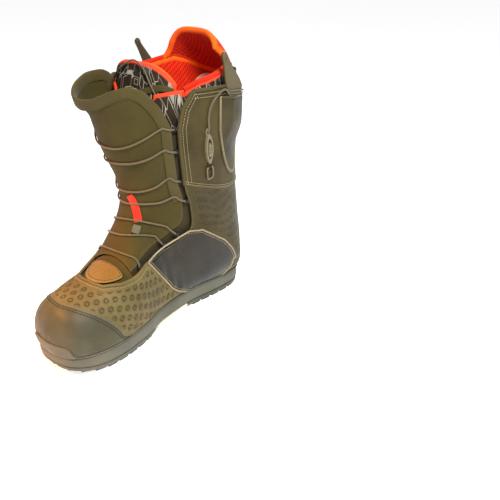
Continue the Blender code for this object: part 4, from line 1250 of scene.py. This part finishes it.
def make_laces():
    upper = lace_route(crossings(0, 4, -1), (13.6, edge_angle(13.5, -1) + 9, LACE_UNDER),
                       (9.6, edge_angle(9.6, -1) + 9, LACE_UNDER))
    lower = lace_route(crossings(4, 7, 1), (8.7, edge_angle(8.7, 1) - 8, LACE_UNDER),
                       (5.1, edge_angle(5.1, -1) + 6, LACE_UNDER))
    for name, route in (("upper_lace", upper), ("lower_lace", lower)):
        cord, = evenly(smooth_line(FORM.at(*route.T), 6), 1.6)
        made = sweep(name + "_cord", cord, circle(LACE_R, 10))
        piece(made, None, "lace_cord", stands_for=(name,))
        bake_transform(made)
    turn = np.linspace(0, 2 * math.pi, 28, endpoint=False)[:, None]
    for side, name in SIDES:
        for k, u in enumerate(GUIDES[side], 1):
            edge, wide = edge_angle(u, side), float(curve_value(TONGUE_MARGIN, u))
            over = FORM.at(u, edge + side * wide * .55, -1.0)
            under = FORM.at(u, edge + side * wide * .2, -3.9)
            along = unit(over - under)
            across = unit(np.cross(along, FORM.normal(u, edge)))
            spokes = across * np.cos(turn) + np.cross(along, across) * np.sin(turn)
            ring = (over + under) / 2 + spokes * 2.3
            loop = sweep(f"{name}_lace_loop_{k}", ring, rounded(4.4, .9, 4, 14), spokes, True)
            piece(loop, "root", "webbing", stands_for=(f"{name}_guide_{k}",))


def plate(name, outline_points, place, low, high, rounding=.5):
    """A flat piece with rounded edges cut to an outline, standing on a place on the shell."""
    origin, across, up, out = place
    ring = np.asarray(outline_points, float)
    centre = ring.mean(0)
    inset = 1 - rounding / np.linalg.norm(ring - centre, axis=1).mean()
    levels = ((inset ** 2, low), (inset, low), (1, low + rounding), (1, high - rounding), (inset, high),
              (inset ** 2, high))
    points = []
    for scale, height in levels:
        points += [origin + across * x + up * y + out * height for x, y in centre + (ring - centre) * scale]
    faces = tube_faces(len(levels), len(ring))
    if signed_area(ring) < 0:
        faces = turned(faces)
    return new_object(name, points, faces, sharp=40)


def ring_plate(name, outer, inner, place, height, rounding=.5):
    """A flat ring between two outlines with as many points."""
    origin, across, up, out = place
    wide = outer * (1 - rounding / np.abs(outer).max())
    tight = inner * (1 + rounding / np.abs(inner).max())
    levels = ((outer, 0), (outer, height - rounding), (wide, height), (tight, height),
              (inner, height - rounding), (inner, 0))
    points = [origin + across * x + up * y + out * z for line, z in levels for x, y in line]
    return new_object(name, points, tube_faces(len(levels), len(outer), True), sharp=40)


def make_lock(side, name):
    place = FORM.place(LOCK_AT[0], mirrored(LOCK_AT[1], side), .95)
    origin, across, up, out = place
    outer, inner = rounded(12, 38, 1.7, 44), rounded(7.6, 27, 1.7, 44)
    frame_ring = ring_plate(name + "_lock_frame", outer, inner, place, 3.4)
    piece(frame_ring, "root", "lock_plastic", "lock_bright", stands_for=(name + "_lock_body",))
    well = plate(name + "_lock_well", rounded(9, 30, 1.7, 32), place, -.2, .25, .1)
    piece(well, "root", "lock_plastic")
    cam = plate(name + "_cam_wedge", WEDGE, place, .5, 4.2, .6)
    piece(cam, name + "_cam", "lock_plastic", "lock_bright", stands_for=(name + "_lock_cam",))
    for k, y in enumerate((-4, -1, 2)):
        ends = [origin + up * y + out * 4.2 + across * x for x in (-1.6, 1.6)]
        tooth = sweep(f"{name}_cam_tooth_{k}", ends, circle(.35, 6))
        piece(tooth, name + "_cam", "lock_plastic")
    key_place = FORM.place(13.45, mirrored(88.6, side), .95)
    key_hole = rounded(3.0, 7.2, 2, 28)
    eye = ring_plate(name + "_lace_eyelet", rounded(5.6, 11, 2, 28), key_hole, key_place, 1.6, .4)
    piece(eye, "root", "lock_plastic", "lock_bright")
    # A black plate fills the eyelet's opening: painted shade of the hole.
    hole = plate(name + "_eyelet_hole_shade", rounded(3.4, 7.8, 2, 24), key_place, -.3, .2, .1)
    piece(hole, "root", "webbing")
    origin, across, up, out = FORM.place(RING_AT[0], mirrored(RING_AT[1], side), 2.25)
    square = [origin + across * x + up * y for x, y in rounded(9.5, 15, 5, 40)]
    ring = sweep(name + "_ring_wire", square, circle(1.1, 10), np.array([out] * 40), closed=True)
    piece(ring, name + "_ring", "lock_plastic", "lock_bright", stands_for=(name + "_lock_ring",))
    keeper = ((15, -1.3), (10, -.9), (8.5, 1.6), (6.6, .4), (6, -1.2))
    line = [origin + up * y + out * z for y, z in keeper]
    tab = sweep(name + "_ring_keeper", line, rounded(5, .9, 4, 14), np.array([out] * len(keeper)))
    piece(tab, "root", "webbing", "pocket_leather")


def level_place(u, t, out):
    """Like Form.place, but its Y axis is straight up and its Z axis level."""
    z = FORM.normal(u, t)
    z = unit(np.array((z[0], z[1], 0)))
    up = np.array((0, 0, 1.0))
    return FORM.at(u, t, out), np.cross(up, z), up, z


def blade_spine(place, height):
    """Centre, width direction and thickness direction of the pull handle at a height above its place.

    Above the pocket the blade leans forward, stands a little off the cuff and twists to the front.
    """
    origin, across, up, out = place
    lateral = out[0] < 0
    free = smooth(ramp(height, -2, 24))
    lean = HANDLE_LEAN * (1.3 if lateral else 1.1) * ramp(height, -8, 64) ** 1.3
    spread = (HANDLE_SPREAD if lateral else 0) * ramp(height, 0, 56) ** 1.5
    centre = origin + up * height + out * (.5 + HANDLE_STAND * free + spread) + np.array((0, -1.0, 0)) * lean
    twist = math.radians(HANDLE_TWIST) * free
    forward = across if across[1] < 0 else -across
    wide = forward * math.cos(twist) - out * math.sin(twist)
    thick = out * math.cos(twist) + forward * math.sin(twist)
    return centre, wide, thick


def make_handle(side, name):
    place = level_place(HANDLE_AT[0], mirrored(HANDLE_AT[1], side), 6.0)
    heights = np.concatenate([np.linspace(HANDLE_FOOT, 57, 46), np.linspace(57.5, HANDLE_TIP, 8)])
    section = rounded(2, 2, 3.2, 28)
    points = []
    for height, width in zip(heights, curve_value(HANDLE_PROFILE, heights)):
        centre, wide, thick = blade_spine(place, height)
        half = 2.8 * min(1, width / 3.2)
        points += [centre + wide * x * width + thick * y * half for x, y in section]
    blade = new_object(name + "_handle_blade", np.array(points), tube_faces(len(heights), len(section)))
    face_outwards(blade)
    piece(blade, name + "_handle", "handle_plastic", stands_for=(name + "_pull_handle",))
    centre, _, thick = blade_spine(place, 54)
    eye = sweep(name + "_handle_eyelet", [centre + thick * z for z in (-3, 3)], circle(1.3, 14))
    piece(eye, name + "_handle", "lock_plastic")
    turn = np.linspace(0, 2 * math.pi, 48, endpoint=False)
    for k, height in enumerate(WINDINGS, 1):
        half = float(curve_value(HANDLE_PROFILE, height)) + 1.0
        loop = []
        for x, y in zip(np.cos(turn), np.sin(turn)):
            centre, wide, thick = blade_spine(place, height + 1.7 * x)
            wide = wide * np.sign(x) * abs(x) ** .4
            thick = thick * np.sign(y) * abs(y) ** .45
            loop.append(centre + wide * half + thick * 3.7)
        wrap = sweep(f"{name}_handle_wrap_{k}", loop, circle(1.2, 10), closed=True)
        piece(wrap, name + "_handle", "lace_cord")
    route = [FORM.at(u, mirrored(LOCK_AT[1], side), out) for u, out in LEAD_START]
    route += [FORM.at(u, mirrored(t, side), out) for u, t, out in LEAD_RISE]
    lead, = evenly(smooth_line(route + [lead_end(place)], 10), 1.5)
    cord = sweep(name + "_lead", lead, circle(LACE_R, 10))
    piece(cord, None, "lace_cord", stands_for=(name + "_lead_cord",))
    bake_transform(cord)


def lead_end(place):
    """Where the lead cord meets the windings on the handle: at the blade's front edge."""
    centre, wide, thick = blade_spine(place, WINDINGS[0])
    return centre + wide * 10.6 + thick * 1.5


def face_outwards(obj):
    shape = bmesh.new()
    shape.from_mesh(obj.data)
    bmesh.ops.recalc_face_normals(shape, faces=shape.faces)
    shape.to_mesh(obj.data)
    shape.free()


# ---- liner -----------------------------------------------------------------------------------------

LINER_TOP, LINER_THROAT_FOOT, LINER_TOE = 15.35, 4.2, .75
PRESSURE, SWELL_STEPS = 4.0, 12
TONGUE_PAD_FOOT, WING_FOOT = 5.0, 9.0
TONGUE_CORD = ((14.3, 230, -1.5), (14.5, 224, 1.2), (14.9, 210, 1.6), (15.3, 194, 2.2), (15.62, 180, 1.6),
               (15.3, 166, 2.2), (14.7, 156, 1.8), (14.2, 146, 1.4), (14.0, 138, -1.5))
TONGUE_STRAP = ((14.3, 168, .4), (14.5, 156, .9), (14.62, 142, .9), (14.5, 128, -.5))


def liner_throat(u):
    open_share = ramp(u, LINER_THROAT_FOOT, .4)
    return np.where(u < 14, np.maximum(0, throat(np.maximum(u, 3.15)) - 2) * open_share, 67.0)


def liner_top(side):
    back_dip = .35 * np.maximum(0, 1 - (side / .45) ** 2)
    front_drop = .75 * ramp(np.abs(side), .3, .7) ** 1.3
    return LINER_TOP - back_dip - front_drop


def rim_share(u, top):
    """1 at a liner's upper rim, fading to 0 about 8 mm below it, so that its side edges aren't trimmed."""
    return smooth(ramp(u - top, -.34, .22))


def liner_points(out, lowest, rows=90, columns=120):
    side = np.linspace(-1, 1, columns)[None, :]
    r = spaced(rows)[:, None]
    u = LINER_TOE + (liner_top(side) - LINER_TOE) * r
    t = (180 - liner_throat(u)) * side
    points = LINER_FORM.at(u, t, out + 0 * u)
    points[..., 2] = np.maximum(points[..., 2], lowest)
    return u, t, points


def liner_layer(name, out, lowest, is_body):
    """The liner's outside, which is its body, or the quilted lining inside it."""
    u, t, points = liner_points(out, lowest)
    base = points.reshape(-1, 3)
    first, faces = joined(base, grid_faces(*u.shape))
    flat = LINER_FORM.flat(u, np.mod(t, 360)).reshape(-1, 2)[first]
    normal = LINER_FORM.normal(u, t).reshape(-1, 3)[first]
    distance = open_edge_distance(base[first], faces)
    inside = ramp(distance, 0, 3.2)
    drop = 3.0 * (1 - np.sqrt(1 - (1 - inside) ** 2))
    if is_body:
        rim = rim_share(u, np.broadcast_to(u[-1:], u.shape)).reshape(-1)[first]
        wear = bell(distance, 0, 4.5) * rim
        return new_object(name, base[first] - normal * drop[:, None], faces, flat, wear)
    quilt = .5 * np.sin(flat[:, 1] / 3.5) * np.sin(flat[:, 0] / 4.0)
    return new_object(name, base[first] + normal * (drop + quilt)[:, None], faces, flat, bell(distance, 0, 5))


def make_liner():
    outer, inner = -LINER_GAP, -LINER_GAP - LINER
    body = liner_layer("liner_outside", outer, SOLE_TOP + 3.4, True)
    piece(body, "root", "liner_mesh", "liner_fabric", stands_for=("liner_boot",))
    lining = liner_layer("liner_lining", inner, SOLE_TOP + 9.4, False)
    piece(lining, "root", "liner_mesh", "liner_mesh")
    side = np.linspace(-1, 1, 200)
    u = liner_top(side)
    t = (180 - liner_throat(u)) * side
    points = LINER_FORM.at(u, t, outer - LINER / 2)
    roll = sweep("liner_rim_roll", points, circle(3.1, 14, 1.0), LINER_FORM.normal(u, t))
    piece(roll, "root", "liner_mesh", "liner_fleece")
    make_liner_tongue()
    make_flap()


def swell(obj, cap):
    """Blows a padded piece up a little with cloth simulation, and keeps each point within cap millimetres."""
    scene = bpy.context.scene
    before = np.array([v.co for v in obj.data.vertices])
    cloth = obj.modifiers.new("cloth", "CLOTH")
    cloth.settings.use_pressure = True
    cloth.settings.uniform_pressure_force = PRESSURE
    cloth.settings.effector_weights.gravity = 0
    cloth.settings.quality = 4
    for k in range(1, SWELL_STEPS + 1):
        scene.frame_set(k)
    graph = bpy.context.evaluated_depsgraph_get()
    shaped = obj.evaluated_get(graph).to_mesh()
    after = np.array([v.co for v in shaped.vertices])
    obj.evaluated_get(graph).to_mesh_clear()
    obj.modifiers.clear()
    scene.frame_set(1)
    move = after - before
    length = np.linalg.norm(move, axis=1, keepdims=True)
    move *= np.minimum(1, cap * MM / np.maximum(length, 1e-9))
    obj.data.vertices.foreach_set("co", (before + move).astype(np.float32).ravel())
    obj.data.update()


def cushion(name, middle, normals, flat, thickness, puff, rim=1.0):
    """A closed crowned pad from a grid of middle points: thick inside, rounded off at its edge."""
    rows, columns = middle.shape[:2]
    points = middle.reshape(-1, 3)
    normal = normals.reshape(-1, 3)
    faces = grid_faces(rows, columns)
    distance = open_edge_distance(points, faces)
    half = thickness / 2
    share = ramp(distance, 0, half * 1.6)
    rise = half * np.sqrt(np.clip(1 - (1 - share) ** 2, 0, 1)) + puff * ramp(distance, 0, 22)
    both = np.vstack([points + normal * rise[:, None], points - normal * rise[:, None]])
    second = [tuple(len(points) + k for k in face) for face in faces]
    first, kept = joined(both, turned(faces) + second)
    wear = bell(distance, 0, 4.0) * np.broadcast_to(rim, (rows, columns)).reshape(-1)
    flats = np.vstack([flat.reshape(-1, 2)] * 2)
    made = new_object(name, both[first], kept, flats[first], np.concatenate([wear, wear])[first])
    face_outwards(made)
    return made


def over_liner(route):
    """A smooth line through places (u, t, lift) above the liner's outside."""
    u, t, lift = np.transpose(route)
    return smooth_line(LINER_FORM.at(u, t, lift - LINER_GAP), 8)


def make_liner_tongue():
    columns = 44
    r, b = grid_shares(110, columns, .5)
    top = 14.75 + .85 * np.sin(math.pi / 2 * np.minimum(1, b * 1.15))
    u = TONGUE_PAD_FOOT + (top - TONGUE_PAD_FOOT) * r
    low = 180 - np.minimum(56, liner_throat(np.minimum(u, 13.0)) - 7)
    both = both_sides((u, low + (180 - low) * b), 180)
    u, t = (np.delete(grid, columns, axis=1) for grid in both)    # the middle line is in both halves
    normals, flat = LINER_FORM.normal(u, t), LINER_FORM.flat(u, t)
    middle = LINER_FORM.at(u, t, -LINER_GAP - LINER + 2.4)
    pad = cushion("liner_tongue_pad", middle, normals, flat, 5.5, .8)
    piece(pad, "liner_tongue", "liner_fabric", stands_for=("liner_tongue",))
    back = LINER_FORM.at(u, t, -LINER_GAP - LINER - 2.6)
    lining = cushion("liner_tongue_lining", back, normals, flat, 2.5, .8)
    piece(lining, "liner_tongue", "liner_fabric", "liner_fleece")
    cord = sweep("liner_tongue_cord", over_liner(TONGUE_CORD), circle(1.0, 10))
    piece(cord, "liner_tongue", "lace_cord", stands_for=("liner_lace",))
    u, t, _ = np.transpose(TONGUE_STRAP)
    normals = smooth_line(LINER_FORM.normal(u, t), 8)
    band = sweep("liner_tongue_strap", over_liner(TONGUE_STRAP), rounded(7, 1.4, 4), normals)
    piece(band, "liner_tongue", "liner_fabric", "binding_tape")
    make_collar_wings()
    lock = LINER_FORM.place(13.9, 186, -LINER_GAP + .4)
    holder = ring_plate("cord_lock_body", rounded(14, 20, 3, 36), rounded(8, 8, 2, 36), lock, 6, .8)
    piece(holder, "liner_tongue", "lock_plastic", stands_for=("liner_lace_lock",))
    button = plate("cord_lock_button", rounded(7, 7, 2, 24), lock, 2.4, 8.6, .7)
    piece(button, "lock_button", "lock_plastic", "handle_plastic", stands_for=("liner_lock_button",))


def make_collar_wings():
    """The collar's two front ends, which lap over the liner's tongue and open with it."""
    r, share = grid_shares(80, 50)
    top = LINER_TOP - .75 - .28 * share ** 1.6
    u = WING_FOOT + (top - WING_FOOT) * r
    t = 180 - liner_throat(u) + 1.0 + 37 * share * smooth(ramp(u, WING_FOOT, 3))
    rim = rim_share(u, top)
    for side, name in SIDES:
        turn = mirrored(t, side)
        middle = LINER_FORM.at(u, turn, -LINER_GAP - .2 + 1.6 * share)
        normals = LINER_FORM.normal(u, turn)
        wing = cushion(name + "_collar_wing", middle, normals, LINER_FORM.flat(u, t), 3.4, .3, rim)
        piece(wing, "liner_tongue", "liner_fabric")


def make_flap():
    """The collar's back flap, which rises from the rim, and the heel hold pad inside."""
    v, b = grid_shares(70, 70, .5)
    a = 2 * b - 1
    wrap = np.where(a < 0, 64, 50) * a
    base = LINER_FORM.at(liner_top(wrap / 113) - .06, wrap, -LINER_GAP - LINER / 2)
    half = np.where(a < 0, 41, 36) * a * (1 - .10 * np.abs(a) ** 6)
    crest = np.stack([half, 104 - 6 * a ** 2, 346.5 - 20 * np.abs(a) ** 4], -1)
    middle = base + (crest - base) * v[..., None]
    middle[..., 1] += 3 * np.sin(math.pi * v)
    along, around = np.gradient(middle, axis=0), np.gradient(middle, axis=1)
    flat = np.stack(np.broadcast_arrays(38 * a, 55 * v), -1)
    pad = cushion("liner_flap_pad", middle, unit(np.cross(along, around)), flat, 6.5, 1.4)
    swell(pad, 1.0)
    piece(pad, "root", "liner_mesh", stands_for=("liner_back_flap",))
    up, b = grid_shares(44, 56)
    across = 2 * b - 1
    u = 13.0 + (1.85 - .35 * np.abs(across) ** 3) * up
    t = 44 * across * (1 - .25 * up ** 4)
    middle = LINER_FORM.at(u, t, -LINER_GAP - LINER - 5)
    flat = LINER_FORM.flat(u, np.mod(t, 360))
    heel = cushion("heel_pad", middle, LINER_FORM.normal(u, t), flat, 7, 1.2)
    swell(heel, 1.5)
    piece(heel, "root", "pad_foam", stands_for=("heel_hold_pad",))


def finish_inner_nodes():
    """The pieces hidden inside keep their CAD shape."""
    for name, look_name in (("lasting_board", "board"), ("footbed", "liner_fleece")):
        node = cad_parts[name]
        node.data.materials.clear()
        node.data.materials.append(LOOKS[look_name])


# ---- stage -----------------------------------------------------------------------------------------

def hang_light(data, place, target):
    made = bpy.data.objects.new(data.name, data)
    bpy.context.scene.collection.objects.link(made)
    made.location = place
    made.rotation_euler = (Vector(target) - Vector(place)).to_track_quat("-Z", "Y").to_euler()


def area_light(name, place, target, size, power):
    data = bpy.data.lights.new(name, "AREA")
    data.shape = "DISK"
    data.size = size
    data.energy = power
    hang_light(data, place, target)


def make_stage():
    bpy.ops.mesh.primitive_plane_add(size=12)
    floor = bpy.context.object
    floor.name = "floor"
    look = bpy.data.materials.new("floor")
    look.use_nodes = True
    shader = look.node_tree.nodes["Principled BSDF"]
    shader.inputs["Base Color"].default_value = (.8, .8, .8, 1)
    shader.inputs["Emission Color"].default_value = (1, 1, 1, 1)
    shader.inputs["Emission Strength"].default_value = .76
    shader.inputs["Roughness"].default_value = .9
    floor.data.materials.append(look)
    world = bpy.data.worlds.new("studio")
    bpy.context.scene.world = world
    world.use_nodes = True
    background = world.node_tree.nodes["Background"]
    background.inputs["Color"].default_value = (1, 1, 1, 1)
    background.inputs["Strength"].default_value = .22
    middle = (0, 0, .17)
    area_light("key", (.80, -.30, 1.20), middle, .35, 26)
    glow = bpy.data.lights.new("warm_spot", "SPOT")
    glow.energy, glow.color = 90, (1, .38, .06)
    glow.spot_size, glow.spot_blend = math.radians(24), 1
    glow.shadow_soft_size = .08
    hang_light(glow, (-.42, -.72, .72), (-.01, -.085, .075))
    area_light("back_light", (-.5, .9, .9), middle, .6, 8)
    data = bpy.data.cameras.new("camera")
    data.lens, data.sensor_width = 52, 36
    camera = bpy.data.objects.new("camera", data)
    bpy.context.scene.collection.objects.link(camera)
    azimuth, elevation, distance = math.radians(39.9), math.radians(26.0), .838
    target = Vector((.1307, .046, .117))
    level = math.cos(elevation)
    ahead = Vector((math.sin(azimuth) * level, -math.cos(azimuth) * level, math.sin(elevation)))
    camera.location = target + ahead * distance
    camera.rotation_euler = (-ahead).to_track_quat("-Z", "Y").to_euler()
    bpy.context.scene.camera = camera
    bpy.context.scene.view_settings.view_transform = "Standard"


make_stage()
make_toe()
make_vamp()
make_side_panels()
make_quarter()
make_cuffs()
make_back()
make_pockets()
make_sole()
make_tongue()
make_laces()
for side, name in SIDES:
    make_lock(side, name)
    make_handle(side, name)
make_liner()
finish_inner_nodes()
